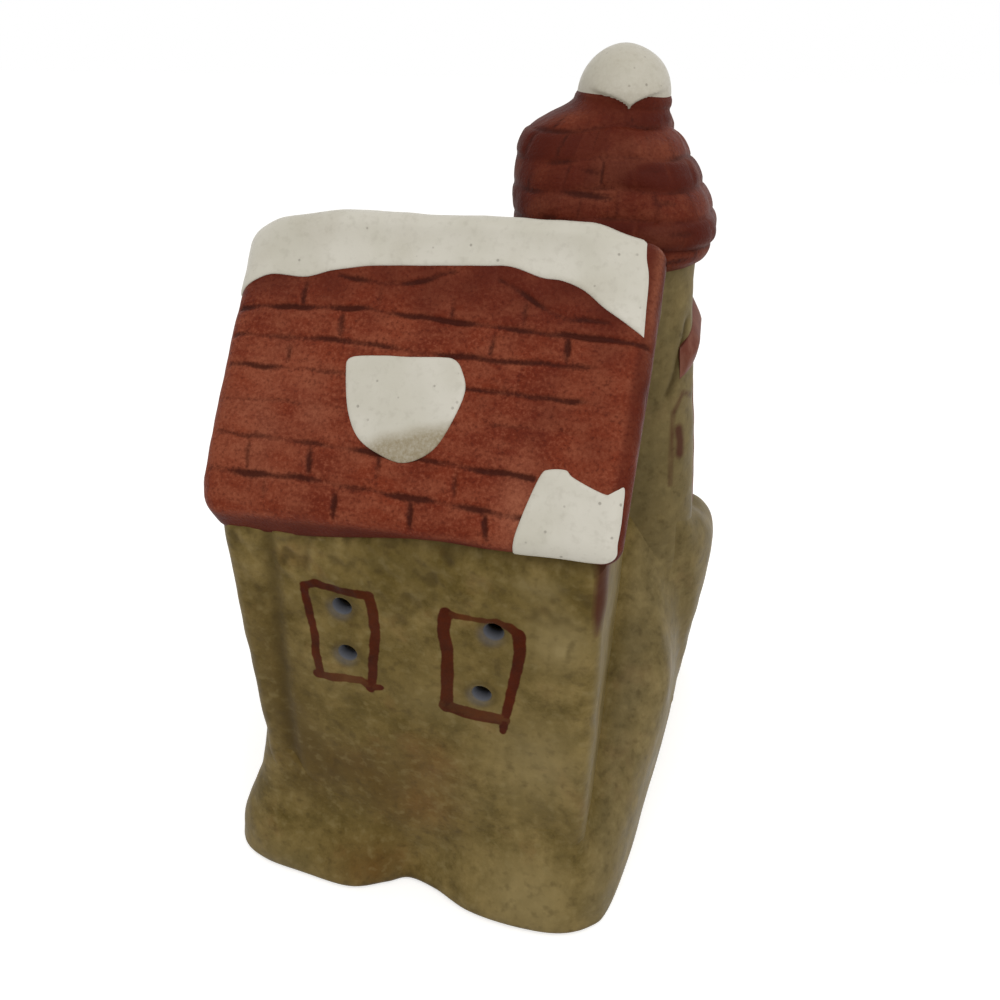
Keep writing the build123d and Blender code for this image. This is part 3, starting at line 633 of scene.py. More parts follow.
def tile_roof():
    """Closed roof section carried along the ridge: the section draws in round each rake and zips shut on its
    middle."""
    nose = EAVE_ROUND * np.pi / 2 + ROOF_THICK / 2 - EAVE_ROUND
    front = FLAT_SLOPE + nose * np.linspace(1, 0, 9, endpoint=False)
    front = np.concatenate([front, np.arange(FLAT_SLOPE, RIDGE_BEND, -FRONT_STEP)])
    back = np.arange(RIDGE_BEND, FLAT_SLOPE, BACK_STEP)
    back = -np.concatenate([back, FLAT_SLOPE + nose * np.linspace(0, 1, 8)])
    s = np.concatenate([front, np.linspace(RIDGE_BEND, -RIDGE_BEND, 18, endpoint=False), back])
    outer, outer_normal = roof_line(s)
    inner_ridge = ROOF_THICK * math.tan(PITCH)
    inner_s = np.sign(s) * (inner_ridge + np.abs(s) * (1 - inner_ridge / FLAT_SLOPE))
    inner_s = np.where(np.abs(s) < FLAT_SLOPE, inner_s, s)
    slope_normal = np.stack([-math.sin(PITCH) * np.sign(s), np.full_like(s, math.cos(PITCH))], -1)
    line, normal = roof_line(inner_s)
    past = np.abs(inner_s) > FLAT_SLOPE
    level = ((line - np.array([RIDGE_Y, RIDGE_HEIGHT])) * slope_normal).sum(-1)
    inner = line - (ROOF_THICK + 2 * np.where(past, level, 0.0))[:, None] * slope_normal
    inner_normal = normal - 2 * (normal * slope_normal).sum(-1, keepdims=True) * slope_normal
    section = np.concatenate([outer, inner[-2:0:-1]])
    square = np.concatenate([outer_normal, inner_normal[-2:0:-1]])
    drawn_in = section - RAKE_ROUND * square
    middle = (drawn_in + np.roll(drawn_in[::-1], 1, 0)) / 2
    edge = RAKE_ROUND * np.linspace(np.pi / 2, 0, 9, endpoint=False)
    flat = np.arange(FLAT_RIGHT, FLAT_LEFT, -RIDGE_STEP)
    x = np.concatenate([FLAT_RIGHT + edge, flat, FLAT_LEFT - edge[::-1]])
    turn, across, depth = rake_turn(x)
    rows = section[None] - depth[:, None, None] * square[None]
    places = at_height(rows, 0.0)[..., [2, 0, 1]] + across[:, None, None] * np.array([1.0, 0.0, 0.0])
    lean = np.broadcast_to((np.sign(x) * np.sin(turn))[:, None, None], rows.shape[:2] + (1,))
    tilt = np.concatenate([lean, np.cos(turn)[:, None, None] * square[None]], -1)
    on_top = np.concatenate([np.ones_like(s), np.zeros(len(s) - 2)])
    chart_x, chart_s = np.meshgrid(x, np.concatenate([s, np.zeros(len(s) - 2)]), indexing="ij")
    cuts = course_cuts(chart_x, chart_s) * on_top
    places = places + ((roof_swell(places) * on_top) - CUT_DEPTH * cuts)[..., None] * tilt
    sides = (ROOF_HALF, -ROOF_HALF - ROOF_LEFT_EXTRA)
    ends = [at_height(middle, side)[None][..., [2, 0, 1]] for side in sides]
    places = roof_sag(np.concatenate([ends[0], places, ends[1]]))
    cuts = np.pad(cuts, ((1, 1), (0, 0)))
    chart_x, chart_s = (np.pad(chart, ((1, 1), (0, 0)), mode="edge") for chart in (chart_x, chart_s))
    under = 1 - np.broadcast_to(on_top, chart_s.shape)
    right_rim = soft_step(chart_x, FLAT_RIGHT - 0.4, FLAT_RIGHT + 1.2) * (1 - under)
    # Painted highlight: a paler line on the right rake's round edge, strongest near the ridge
    crest_highlight = np.exp(-((chart_x - FLAT_RIGHT - 1.9) / 0.8) ** 2) * soft_step(np.abs(chart_s), 26, 8)
    brushed = np.exp(-(np.hypot(chart_x - 16.4, (chart_s - 42.5) * 0.5) / 2.6) ** 2)
    dry = np.exp(-((chart_x + 22) / 9) ** 2 - ((chart_s - 33) / 11) ** 2)
    patchy = lumps(np.stack([chart_x, chart_s, 0 * chart_x], -1), 6.5, 64)
    rub_and_highlight = np.clip(brushed + 0.7 * crest_highlight * (1 - under) + dry * (0.42 + 0.3 * patchy), 0, 1)
    # Painted shade on the eave nose's lower face, round the right rim and on the underside; the top is darker
    # toward the ridge and the tone varies in patches
    edge_dark = 0.9 * soft_step(chart_s, FLAT_SLOPE + 2.0, FLAT_SLOPE + 4.0)
    top_dark = 0.6 * soft_step(chart_s, 20, 9) + 0.2 * soft_step(chart_x, 0, 24) * soft_step(chart_s, 38, 28)
    shade = np.maximum(top_dark, 0.75 * right_rim) + edge_dark + 0.7 * under + 0.15 * patchy
    shade = np.clip(shade, 0, 1)
    # Columns of the underside, away from both noses, become one in groups
    inner_columns = np.arange(len(section))
    past_nose = inner_columns - len(s) - 10
    flat_part = (past_nose > 0) & (inner_columns < len(section) - 14)
    inner_columns = np.where(flat_part, inner_columns - past_nose % UNDER_GROUP, inner_columns)
    wash = 0.9 * soft_step(chart_x, FLAT_RIGHT - 0.8, FLAT_RIGHT + 0.6) * soft_step(-chart_s, 2, 5)
    fields = {"cut": cuts, "rub_and_highlight": rub_and_highlight, "shade": shade, "wash": wash}
    piece = skin("tile_roof", places, fields, first="zip", last="zip", merged=inner_columns)
    return settle(piece, TERRACOTTA, ["gable_roof"], 50)


# Snow on the roof: (x, s) outlines
RIDGE_SNOW_FRONT = (
    (-36, 12.2), (-33, 12.1), (-31, 11.3), (-27.1, 10), (-21.8, 10.6), (-17.4, 9.6), (-11.5, 8.5),
    (-2.8, 7.8), (5.8, 7.4), (10.4, 7.2), (15.2, 8.5), (18.4, 8.8), (21.7, 10), (24.6, 12.1), (27, 13.7),
    (30.4, 16.1), (33.5, 16.9),
)
RIDGE_SNOW_BACK = (
    (-36, -9), (-24, -10.5), (-12, -8.5), (-2, -11), (8, -9), (18, -12), (26, -10), (33.5, -12.5),
)
RIDGE_SNOW_RIGHT = (
    (-13, 29.0), (-2.0, 28.6), (0.8, 28.7), (3.6, 28.9), (6.6, 29.5), (12.6, 29.8), (16.5, 30.0),
)
ROUND_PATCH = (
    (-11.9, 23.1), (-7, 22.4), (-2.7, 22.2), (2, 21.8), (4.1, 22), (5.4, 23.4), (6.4, 26.5), (5.2, 31.4),
    (3, 35.8), (-0.8, 38), (-4.6, 37.3), (-8.4, 35.2), (-10.8, 31.3), (-12.2, 25.7),
)
CORNER_PATCH = (
    (19.2, 37.3), (20.2, 36.5), (22.5, 36.3), (23.7, 37.2), (27.3, 38.7), (29, 38.9), (30.6, 37.7),
    (31, 40.8), (31, 44.8), (30.6, 47.9), (26, 48.9), (20.5, 49.1), (16.9, 49.2), (16.5, 48.4), (16.8, 45.4),
    (18, 40.8),
)


def edge_rise(gap):
    """Height of a glaze layer at a distance inside its edge: a round shoulder that levels out."""
    return SNOW_THICK * np.sqrt(1 - (1 - np.clip(gap / SNOW_EDGE, 0, 1)) ** 2)


def ridge_snow_cap():
    """Sheet on the roof chart between the given lower edges, thickest inside, sunk a little into the roof."""
    v = (1 - np.cos(np.linspace(0, np.pi, 90))) / 2
    u = np.linspace(0, 1, 170)
    u = u + 0.012 * np.sin(2 * np.pi * u)
    lines = (RIDGE_SNOW_FRONT, RIDGE_SNOW_BACK, RIDGE_SNOW_RIGHT)
    front, back, right = (spline(line, 400) for line in lines)
    left = FLAT_LEFT - 1.25 * RAKE_ROUND
    rough_x = left + u * (30 - left)
    low = np.interp(rough_x, back[:, 0], back[:, 1])
    high = np.interp(rough_x, front[:, 0], front[:, 1])
    s = low[:, None] + (high - low)[:, None] * v
    reach = np.interp(s, right[:, 0], right[:, 1])
    x = left + u[:, None] * (reach - left)
    gap = np.minimum(np.minimum(high[:, None] - s, s - low[:, None]), np.minimum(reach - x, x - left))
    places, tilt = roof_point(x, s)
    rise = edge_rise(gap) + 1.2 * np.exp(-(s / 4) ** 2) * soft_step(gap, 0, 8)
    dirt_and_shade = 0.12 * soft_step(lumps(places, 9, 21), 0.2, 1.0)
    top = places + rise[..., None] * tilt
    piece = pillow("ridge_snow_cap", top, places - SNOW_SINK * tilt, {"dirt_and_shade": dirt_and_shade})
    return settle(piece, WHITE, ["ridge_snow"], 60)


def snow_patch(name, outline, centre, node, dirt_range):
    """Rings from the middle to a closed outline on the roof chart, over the top and back under, closed at
    both poles; dirt grows between two ways down the slope."""
    centre = np.asarray(centre, float)
    rim = spline(outline, 180, closed=True)
    share = np.sin(np.linspace(0, np.pi / 2, PATCH_RINGS))
    share = np.concatenate([share, share[-2::-2]])
    on_top = (np.arange(len(share)) < PATCH_RINGS)[:, None]
    chart = centre + share[:, None, None] * (rim - centre)
    reach = np.linalg.norm(rim - centre, axis=-1)
    gap = (1 - share)[:, None] * reach
    places, tilt = roof_point(chart[..., 0], chart[..., 1])
    rise = np.where(on_top, edge_rise(gap), -SNOW_SINK * np.clip(gap, 0, 1))
    slanted = chart[..., 1] + 0.35 * chart[..., 0] + 0.7 * lumps(places, 6, 23)
    dirt_and_shade = 0.85 * soft_step(slanted, *dirt_range)
    piece = skin(name, places + rise[..., None] * tilt, {"dirt_and_shade": dirt_and_shade}, first="pole", last="pole")
    return settle(piece, WHITE, [node], 60)


# Window frames brushed on the front wall: (line of (x, z), first and last width, first and last paint load)
WINDOW_STROKES = (
    (((-17.9, 67.4), (-17.5, 63.4), (-17.1, 58.4), (-17.3, 54.3), (-16.9, 49.6)), (1.4, 1.4), (1.0, 0.9)),
    (((-17.7, 68.4), (-15.9, 69.1), (-12.7, 68.8), (-9.1, 68.6), (-6.7, 68.4)), (1.4, 1.4), (1.0, 0.9)),
    (
        ((-6.7, 68.4), (-6.2, 65.5), (-6.2, 61.2), (-6.8, 56.6), (-7.4, 51.7), (-8.1, 48.5)), (1.8, 1.5),
        (0.9, 1.0),
    ),
    (((-17.6, 49.7), (-14.9, 49.7), (-11.9, 50.0)), (1.7, 1.7), (0.9, 0.45)),
    (((-11.9, 50.0), (-9.5, 50.1), (-8.1, 48.9), (-6.2, 49.1)), (1.7, 1.2), (0.45, 1.0)),
    (((5.8, 67.6), (5.4, 63.6), (5.8, 60.4), (5.8, 55.9), (5.6, 51.2), (5.4, 47.5)), (2.0, 2.0), (1.0, 0.9)),
    (((6.0, 67.7), (7.5, 67.3), (10.9, 67.2)), (1.4, 0.7), (0.9, 0.6)),
    (((10.9, 67.2), (13.8, 67.4), (15.9, 66.8), (17.4, 65.5)), (0.7, 1.6), (0.6, 1.0)),
    (
        ((17.4, 65.5), (17.7, 62.9), (17.4, 59.6), (16.7, 55.5), (16.1, 51.3), (15.4, 47.5), (15.0, 44.3)),
        (2.1, 1.2), (1.0, 1.0),
    ),
    (((5.1, 48.0), (7.9, 47.5), (11.6, 47.2), (15.2, 47.2)), (2.1, 2.1), (0.75, 0.7)),
    (((5.3, 47.0), (8.5, 46.3), (12.0, 46.0), (15.0, 46.2)), (0.7, 0.7), (0.9, 0.8)),
)
WINDOW_HOLES = ((-11.6, 65.3), (-11.6, 55.6), (13.4, 65.1), (11.4, 51.8))
HOLE_RADIUS = 1.6
# Section of a hole: (radius, depth), with a soft mouth and a wider back
WINDOW_BORE = (
    (0, -1.2), (2.6, -1.2), (2.25, -0.3), (HOLE_RADIUS + 0.15, 0.15), (HOLE_RADIUS - 0.05, 0.5),
    (HOLE_RADIUS - 0.3, 1.6), (HOLE_RADIUS - 0.2, 2.2), (HOLE_RADIUS + 1.2, WALL_THICK + 1.0),
    (0, WALL_THICK + 1.0),
)
PILASTER_GROOVE = (
    (-22.6, 77.5), (-22.6, 75.1), (-22.9, 68.8), (-23.7, 58.8), (-24.2, 49.2), (-24.7, 40.1), (-24.9, 31.2),
    (-25.4, 20.2),
)
SHORT_GROOVE = ((-16.1, 76.6), (-16.9, 72.0))
# All lines cut in the front wall: (line of (x, z), depth, half width, darkness)
WALL_GROOVES = (
    (PILASTER_GROOVE, 0.55, 1.3, 0.55), (SHORT_GROOVE, 0.3, 0.7, 0.35),
    (((-23.0, 75.6), (-19.8, 76.7), (-17.4, 77.6)), 0.3, 0.6, 0.4),
    (((-8.5, 74.8), (-9.9, 72.7)), 0.3, 0.6, 0.25),
)
# Pale stone that stands out under the eave, and sizes of the rough cast's stones and pebbles
PALE_STONE = (-19.9, 77.7)
STONE_SIZE = 4.5
PEBBLE_SIZE = 2.4
# Soft spots of thin (pale) and thick (dark) glaze on the front, among them a painted glint and sheen toward
# the right and painted shade low at the left: x, z, half width, half height, amount
GLAZE_AND_LIGHT_SPOTS = (
    (-26.0, 56.0, 5.0, 14.0, -0.55), (-24.0, 35.0, 6.0, 13.0, -0.75), (-14.0, 27.5, 9.0, 6.5, -0.6),
    (-9.5, 18.5, 5.5, 4.0, -0.45), (-4.0, 31.0, 6.0, 6.0, -0.25), (23.5, 65.5, 5.0, 6.0, 0.75),
    (21.0, 38.0, 8.0, 11.0, 0.6), (21.0, 7.0, 9.0, 8.0, 0.75), (20.5, 75.0, 4.0, 2.5, 0.4),
    (-30.0, 2.0, 9.0, 6.0, 0.3), (3.0, 49.0, 7.0, 6.0, 0.2), (27.5, 74.0, 2.5, 3.0, -0.4),
    (23.8, 63.6, 0.7, 0.8, 0.9), (-21.5, 19.5, 7.0, 6.0, -0.35),
)
RUST_SPOTS = (
    (2.0, 33.0, 6.0, 6.0, 0.5), (-1.0, 21.0, 7.0, 6.5, 0.6), (-10.0, 5.0, 7.0, 5.0, 0.5),
    (-14.0, 28.0, 8.0, 5.0, 0.35),
)
# Roof paint that ran over on to the wall under the left end of the eave, drawn dark as painted shade under
# the eave: its lower edge (x, z)
EAVE_BAND = (
    (-32.0, 78.2), (-29.7, 78.3), (-23.7, 78.4), (-16.9, 78.9), (-12.0, 79.3), (-9.3, 79.9), (-8.0, 82.0),
)
# Roof paint that ran down the right front corner: its line (x, z), and how far x moves per mm of depth
CORNER_DRIP = ((29.3, 84.0), (29.25, 78.0), (29.15, 72.8), (29.0, 67.0))
CORNER_DRIP_LEAN = 0.065


def spots(x, z, table):
    """Sum of soft oval spots, each amount x exp(-(distance in half sizes)^2)."""
    total = 0
    for at_x, at_z, wide, high, amount in table:
        total = total + amount * np.exp(-((x - at_x) / wide) ** 2 - ((z - at_z) / high) ** 2)
    return total


def roof_under(y):
    """Height of the roof's underside over a depth y."""
    return RIDGE_HEIGHT - ROOF_THICK / math.cos(PITCH) - np.abs(y - RIDGE_Y) * math.tan(PITCH)


def glazed_walls():
    """Rounded rectangle carried up to the roof's underside, over the rim and down inside, then drilled for
    the light."""
    template = ring_template((190, 70, 60, 60), 12)
    low, high = np.array([-WALL_HALF - WALL_LEFT_EXTRA, 0.0]), np.array([WALL_HALF, WALL_DEPTH])
    plan = ring_places(template, low, high, WALL_CORNER)
    inside = ring_places(template, low + WALL_THICK, high - WALL_THICK, WALL_CORNER / 3)
    top = roof_under(plan[:, 1]) + WALL_INTO_ROOF
    inner_top = roof_under(inside[:, 1]) + WALL_INTO_ROOF
    climb = np.linspace(0, 1, WALL_ROWS)[:, None]
    outer = at_height(plan, FLOOR_TOP + climb * (top - FLOOR_TOP))
    normal = np.concatenate([template[1], np.zeros((len(plan), 1))], -1)
    groove = np.zeros(outer.shape[:2])
    on_front = (np.abs(outer[..., 1]) < 2.5).astype(float)
    for line, deep, wide, _ in WALL_GROOVES:
        gap = gap_to_line(outer[..., 0], outer[..., 2], line)[0]
        groove = np.maximum(groove, deep * np.exp(-(gap / wide) ** 2) * on_front)
    stones = 0.3 * lumps(outer, STONE_SIZE, 7) + 0.16 * lumps(outer, PEBBLE_SIZE, 8)
    stones = stones * soft_step(outer[..., 2], 60, 76) * on_front
    off_stone = np.hypot((outer[..., 0] - PALE_STONE[0]) / 2.2, (outer[..., 2] - PALE_STONE[1]) / 1.1)
    stones = stones + 0.4 * np.exp(-off_stone ** 4) * on_front
    stones = stones * soft_step(WALL_HALF - np.abs(outer[..., 0]), 0, 4)
    outer = outer + (clay_swell(outer) + stones - groove)[..., None] * normal
    fall = np.linspace(1, 0, WALL_INNER_ROWS)[:, None]
    inner = at_height(inside, FLOOR_TOP + fall * (inner_top - FLOOR_TOP))
    piece = skin("glazed_walls", np.concatenate([outer, inner]), rows_meet=True)
    for hole_x, hole_z in WINDOW_HOLES:
        drill(piece, WINDOW_BORE, (hole_x, 0.0, hole_z), 1)
    places = vertex_places(piece)
    x, y, z = places.T
    front = soft_step(y, 3.2, 1.2)
    inked, load = np.zeros_like(x), np.zeros_like(x)
    for line, widths, loads in WINDOW_STROKES:
        gap, part = gap_to_line(x, z, line)
        depth = ink(gap - np.interp(part, (0, 1), widths) / 2 - 0.08)
        load = np.where(depth > inked, np.interp(part, (0, 1), loads), load)
        inked = np.maximum(inked, depth)
    paint_field(piece, "frame_ink", inked * front)
    paint_field(piece, "frame_load", load)
    # Darker in the cut lines and in a ring round each hole: pooled glaze and painted shade
    pooled_glaze_and_shade = np.zeros_like(x)
    for line, _, wide, dark in WALL_GROOVES:
        gap = gap_to_line(x, z, line)[0]
        pooled_glaze_and_shade = np.maximum(pooled_glaze_and_shade, dark * np.exp(-(gap / wide) ** 2) * front)
    away = np.min([np.hypot(x - hole_x, z - hole_z) for hole_x, hole_z in WINDOW_HOLES], 0)
    pooled_glaze_and_shade = np.maximum(pooled_glaze_and_shade, 0.4 * np.exp(-((away - 2.3) / 0.6) ** 2) * front)
    rough_cast = lumps(places, STONE_SIZE, 7) + 0.7 * lumps(places, PEBBLE_SIZE, 8)
    # Darker in the rough cast's hollows on the upper wall: pooled glaze and painted shade
    hollow = 0.55 * soft_step(-rough_cast, 0.2, 1.2) * soft_step(z, 56, 76) * front
    paint_field(piece, "pooled_glaze_and_shade", np.clip(np.maximum(pooled_glaze_and_shade, hollow), 0, 1))
    # Glaze spots, with a painted glint and sheen toward the right and painted shade low at the left
    paint_field(piece, "tone", np.clip(spots(x, z, GLAZE_AND_LIGHT_SPOTS) * front, -1, 1))
    paint_field(piece, "rust", spots(x, z, RUST_SPOTS) * front)
    # The right side wall is paler and greyer: painted light on that side
    paint_field(piece, "pale_grey_and_painted_light", 0.3 * soft_step(x, 29.0, 29.9))
    gap, part = gap_to_line(x - CORNER_DRIP_LEAN * y, z, CORNER_DRIP)
    spread = np.interp(part, (0, 0.75, 1), (1.0, 0.8, 0.1))
    drip = ink(gap + 0.2 * np.maximum(y - 2.0, 0) - spread) * (x > 28.0)
    # Dark band under the left eave: roof paint and painted shade
    band_x, band_z = np.array(EAVE_BAND).T
    band = ink(np.interp(x, band_x, band_z) - z + 0.3) * front
    paint_field(piece, "smear_ink", np.maximum(drip, band))
    below = np.min([np.hypot(x - hole_x + 0.5, z - hole_z + 0.7) for hole_x, hole_z in WINDOW_HOLES], 0)
    smudge = np.exp(-(below / 2.0) ** 4)
    bare = soft_step(y, 0.1, 0.4) * (away < HOLE_RADIUS + 0.15) * soft_step(y, 4.0, 2.6)
    paint_field(piece, "bare_clay", np.maximum(bare, 0.4 * smudge * (y < 1.0)))
    return settle(piece, KHAKI, ["house_walls"])


# Snow foot: foot (x, y), place on the walls (x, y), height there, how full the bank stands (0 hollow,
# 1 round), overhang
FOOT_TABLE = (
    (-40.9, 2.6, -31.0, 3.5, 42, 0.0, 0.0), (-38.4, -2.2, -29.4, 0.8, 36, 0.0, 0.0),
    (-33.0, -4.6, -25.0, 0.0, 26, 0.1, 0.0), (-25.0, -5.6, -19.5, 0.0, 20, 0.1, 0.0),
    (-14.3, -6.3, -12.0, 0.0, 18, 0.1, 0.0), (-7.5, -3.7, -6.5, 0.0, 15, 0.1, 0.0),
    (-3.6, -1.7, -2.5, 0.0, 11, 0.0, 0.0), (2.5, -2.8, 2.5, 0.0, 13, 0.0, 0.0),
    (9.6, -5.5, 9.0, 0.0, 17, 0.1, 0.0), (18.4, -6.4, 17.0, 0.0, 20, 0.1, 0.0),
    (27.1, -5.8, 24.5, 0.0, 22, 0.1, 0.0), (32.9, -3.0, 28.6, 0.8, 22, 0.2, 0.0),
    (35.7, 1.2, 30.0, 4.0, 20, 0.5, 0.0), (38.5, 14.0, 30.0, 14.0, 27, 0.9, 0.8),
    (40.6, 29.0, 30.0, 28.0, 41, 0.95, 4.2), (42.0, 38.0, 29.3, 37.5, 58, 0.65, 4.4),
    (43.0, 45.0, 30.2, 42.3, 66, 0.55, 4.6), (43.6, 50.0, 37.8, 43.6, 65, 0.62, 4.8),
    (44.1, 55.0, 41.1, 50.0, 62, 0.84, 5.1), (44.4, 60.0, 40.9, 57.5, 59.5, 0.93, 5.6),
    (44.8, 69.0, 39.9, 66.5, 57.5, 0.95, 5.3), (43.4, 79.5, 36.4, 72.6, 49, 0.9, 1.8),
    (33.0, 84.3, 28.0, 73.4, 38, 0.6, 0.6), (20.0, 84.4, 18.0, 73.6, 30, 0.4, 0.0),
    (7.0, 80.5, 9.8, 72.4, 26, 0.3, 0.0), (-3.0, 71.0, 5.4, 62.0, 25, 0.3, 0.0),
    (-9.0, 64.5, 4.0, 55.6, 25, 0.3, 0.0), (-24.0, 60.5, -16.0, 54.8, 24, 0.2, 0.0),
    (-33.5, 58.5, -28.6, 54.0, 26, 0.2, 0.0), (-38.0, 50.0, -31.0, 46.0, 26, 0.1, 0.0),
    (-40.0, 36.0, -31.0, 34.0, 26, 0.1, 0.0), (-40.4, 20.0, -31.0, 19.0, 30, 0.0, 0.0),
    (-40.9, 10.0, -31.0, 10.0, 37, 0.0, 0.0),
)
FOOT_LIP = 1.6
FOOT_COLUMNS = 420
FOOT_ROWS = 70
# How far the bank's top edge reaches into the walls
FOOT_TUCK = 2.0


def snow_foot():
    """Bank round the house: each column is a cubic curve by four weighted control points, from the round
    foot lip up to its place on the walls; then the skin tucks behind the wall, crosses the floor to the
    lamp hole and returns under the foot ring."""
    ring = spline(FOOT_TABLE, FOOT_COLUMNS, closed=True)
    foot, wall, top, full, over = ring[:, :2], ring[:, 2:4], ring[:, 4], ring[:, 5], ring[:, 6]
    inward = (wall - foot) / np.linalg.norm(wall - foot, axis=-1, keepdims=True)
    step = np.roll(foot, -1, 0) - np.roll(foot, 1, 0)
    outward = np.stack([step[:, 1], -step[:, 0]], -1) / np.linalg.norm(step, axis=-1, keepdims=True)
    t = np.linspace(0, 1, FOOT_ROWS)[:, None]
    weights = ((1 - t) ** 3, 3 * (1 - t) ** 2 * t, 3 * (1 - t) * t ** 2, t ** 3)
    share = weights[0] + weights[1] * (0.98 + 0.04 * full) + weights[2] * 0.85 * full
    rise = weights[1] * (0.3 + 0.5 * full) * top + weights[2] * (0.42 + 0.53 * full) * top + weights[3] * top
    hang = over * (0.35 * weights[1] + 1.55 * weights[2])
    plan = wall + share[..., None] * (foot - wall) + hang[..., None] * outward
    side = at_height(plan, FOOT_LIP * (1 - t ** 0.5) + rise)
    lip_turn = np.linspace(-np.pi / 2, 0, 8, endpoint=False)[:, None]
    lip_plan = foot + (FOOT_LIP * (1 - np.cos(lip_turn)))[..., None] * inward
    lip = at_height(lip_plan, FOOT_LIP * (1 + np.sin(lip_turn)))
    outer = np.concatenate([lip, side])
    swell = clay_swell(outer) * soft_step(outer[..., 2], 0.0, 4.0)
    outer = outer + swell[..., None] * grid_normals(outer)
    centre = np.array([0.0, RIDGE_Y])
    homeward = (centre - foot) / np.linalg.norm(centre - foot, axis=-1, keepdims=True)
    hole = centre - LAMP_HOLE / 2 * homeward
    rim = foot + FOOT_RIM * homeward
    hidden = [
        at_height(wall + 0.7 * inward, top + 0.4), at_height(wall + FOOT_TUCK * inward, top - 0.6),
        at_height(wall + FOOT_TUCK * inward, FLOOR_TOP),
        at_height(hole, FLOOR_TOP), at_height(hole, FOOT_RECESS),
        at_height(rim + RIM_ROUND * homeward, FOOT_RECESS), at_height(rim, FOOT_RECESS - RIM_ROUND),
        at_height(rim, RIM_ROUND), at_height(rim - RIM_ROUND * homeward, 0.0),
    ]
    piece = skin("snow_foot", np.concatenate([outer, np.stack(hidden)]), rows_meet=True)
    vent = VENT_DIAMETER / 2
    profile = ((0, 3.0), (vent, 3.0), (vent, FLOOR_TOP + 3), (0, FLOOR_TOP + 3))
    drill(piece, profile, (*VENT_PLACE, 0.0), 2)
    places = vertex_places(piece)
    x, y, z = places.T
    front = soft_step(y, 4.0, 1.0)
    # Darker in the lowest 3 mm, toward the floor
    paint_field(piece, "pooled_glaze_and_shade", 0.3 * soft_step(z, 3.0, 0.0))
    # Glaze spots, with painted shade low at the left and painted light toward the right
    paint_field(piece, "tone", np.clip(spots(x, z, GLAZE_AND_LIGHT_SPOTS) * front, -1, 1))
    paint_field(piece, "rust", spots(x, z, RUST_SPOTS) * front)
    # The bank on the right is paler and greyer: painted light on that side
    paint_field(piece, "pale_grey_and_painted_light", 0.35 * soft_step(x, 29.5, 34.0))
    inset = gap_to_line(x, y, np.vstack([foot, foot[:1]]))[0]
    ring_bare = (z < FOOT_RECESS + 0.3) * soft_step(inset, 2.5, 4.0)
    floor_bare = (z < FLOOR_TOP + 0.2) * soft_step(inset, FOOT_RIM + 2, FOOT_RIM + 4)
    paint_field(piece, "bare_clay", 0.8 * np.maximum(ring_bare, floor_bare))
    return settle(piece, KHAKI, ["base_mound", "snow_ramp"])


# Tower


def tower_right(z):
    """Right edge of the battered tower at a height."""
    return np.interp(z, TOWER_HEIGHTS, TOWER_RIGHTS)


def tower_back(z):
    """Back edge of the battered tower at a height."""
    return np.interp(z, TOWER_HEIGHTS, TOWER_BACKS)


def tower_draw_in(x, y):
    """Right flank turned a little: x drawn in with the depth behind the front corner."""
    return x - TOWER_SKEW * np.maximum(y - TOWER_FRONT - TOWER_CORNER + 2, 0) * soft_step(x, 18, 36)


def tower_flank(way, z):
    """Place and normal on the tower at a way round its right corners (0 on the front one, back positive)."""
    half = TOWER_CORNER * np.pi / 4
    flat = tower_back(z) - TOWER_FRONT - 2 * TOWER_CORNER
    past = np.clip(way - half - flat, 0, 2 * half)
    angle = (np.clip(way / half, -1, 1) + 1) * np.pi / 4 + past / TOWER_CORNER
    x = tower_right(z) - TOWER_CORNER + TOWER_CORNER * np.sin(angle) - np.maximum(-way - half, 0)
    y = TOWER_FRONT + TOWER_CORNER - TOWER_CORNER * np.cos(angle) + np.clip(way - half, 0, flat)
    normal = np.stack([np.sin(angle), -np.cos(angle), 0.13 * np.sin(angle)], -1)
    normal = normal / np.linalg.norm(normal, axis=-1, keepdims=True)
    places = np.stack([tower_draw_in(x, y), y, z], -1)
    return places + clay_swell(places)[..., None] * normal, normal


# Painted and cut lines on the tower's corner: (way, z)
HOOD_GROOVE = ((2.9, 101.4), (2.2, 99.4), (0.9, 96.5), (-0.4, 92.5), (-2.0, 89.0))
DOOR_ARCH = ((-1.7, 71.0), (-1.5, 78.0), (-0.9, 85.5), (1.6, 88.9), (4.6, 87.5))
DOOR_SMUDGE = ((0.3, 82.0), (0.7, 79.5), (0.5, 77.2))
HOOD_GROOVE_HALF = 0.75
HOOD_GROOVE_DEPTH = 0.5
DOOR_ARCH_HALF = 0.3
DOOR_SMUDGE_HALF = 1.0


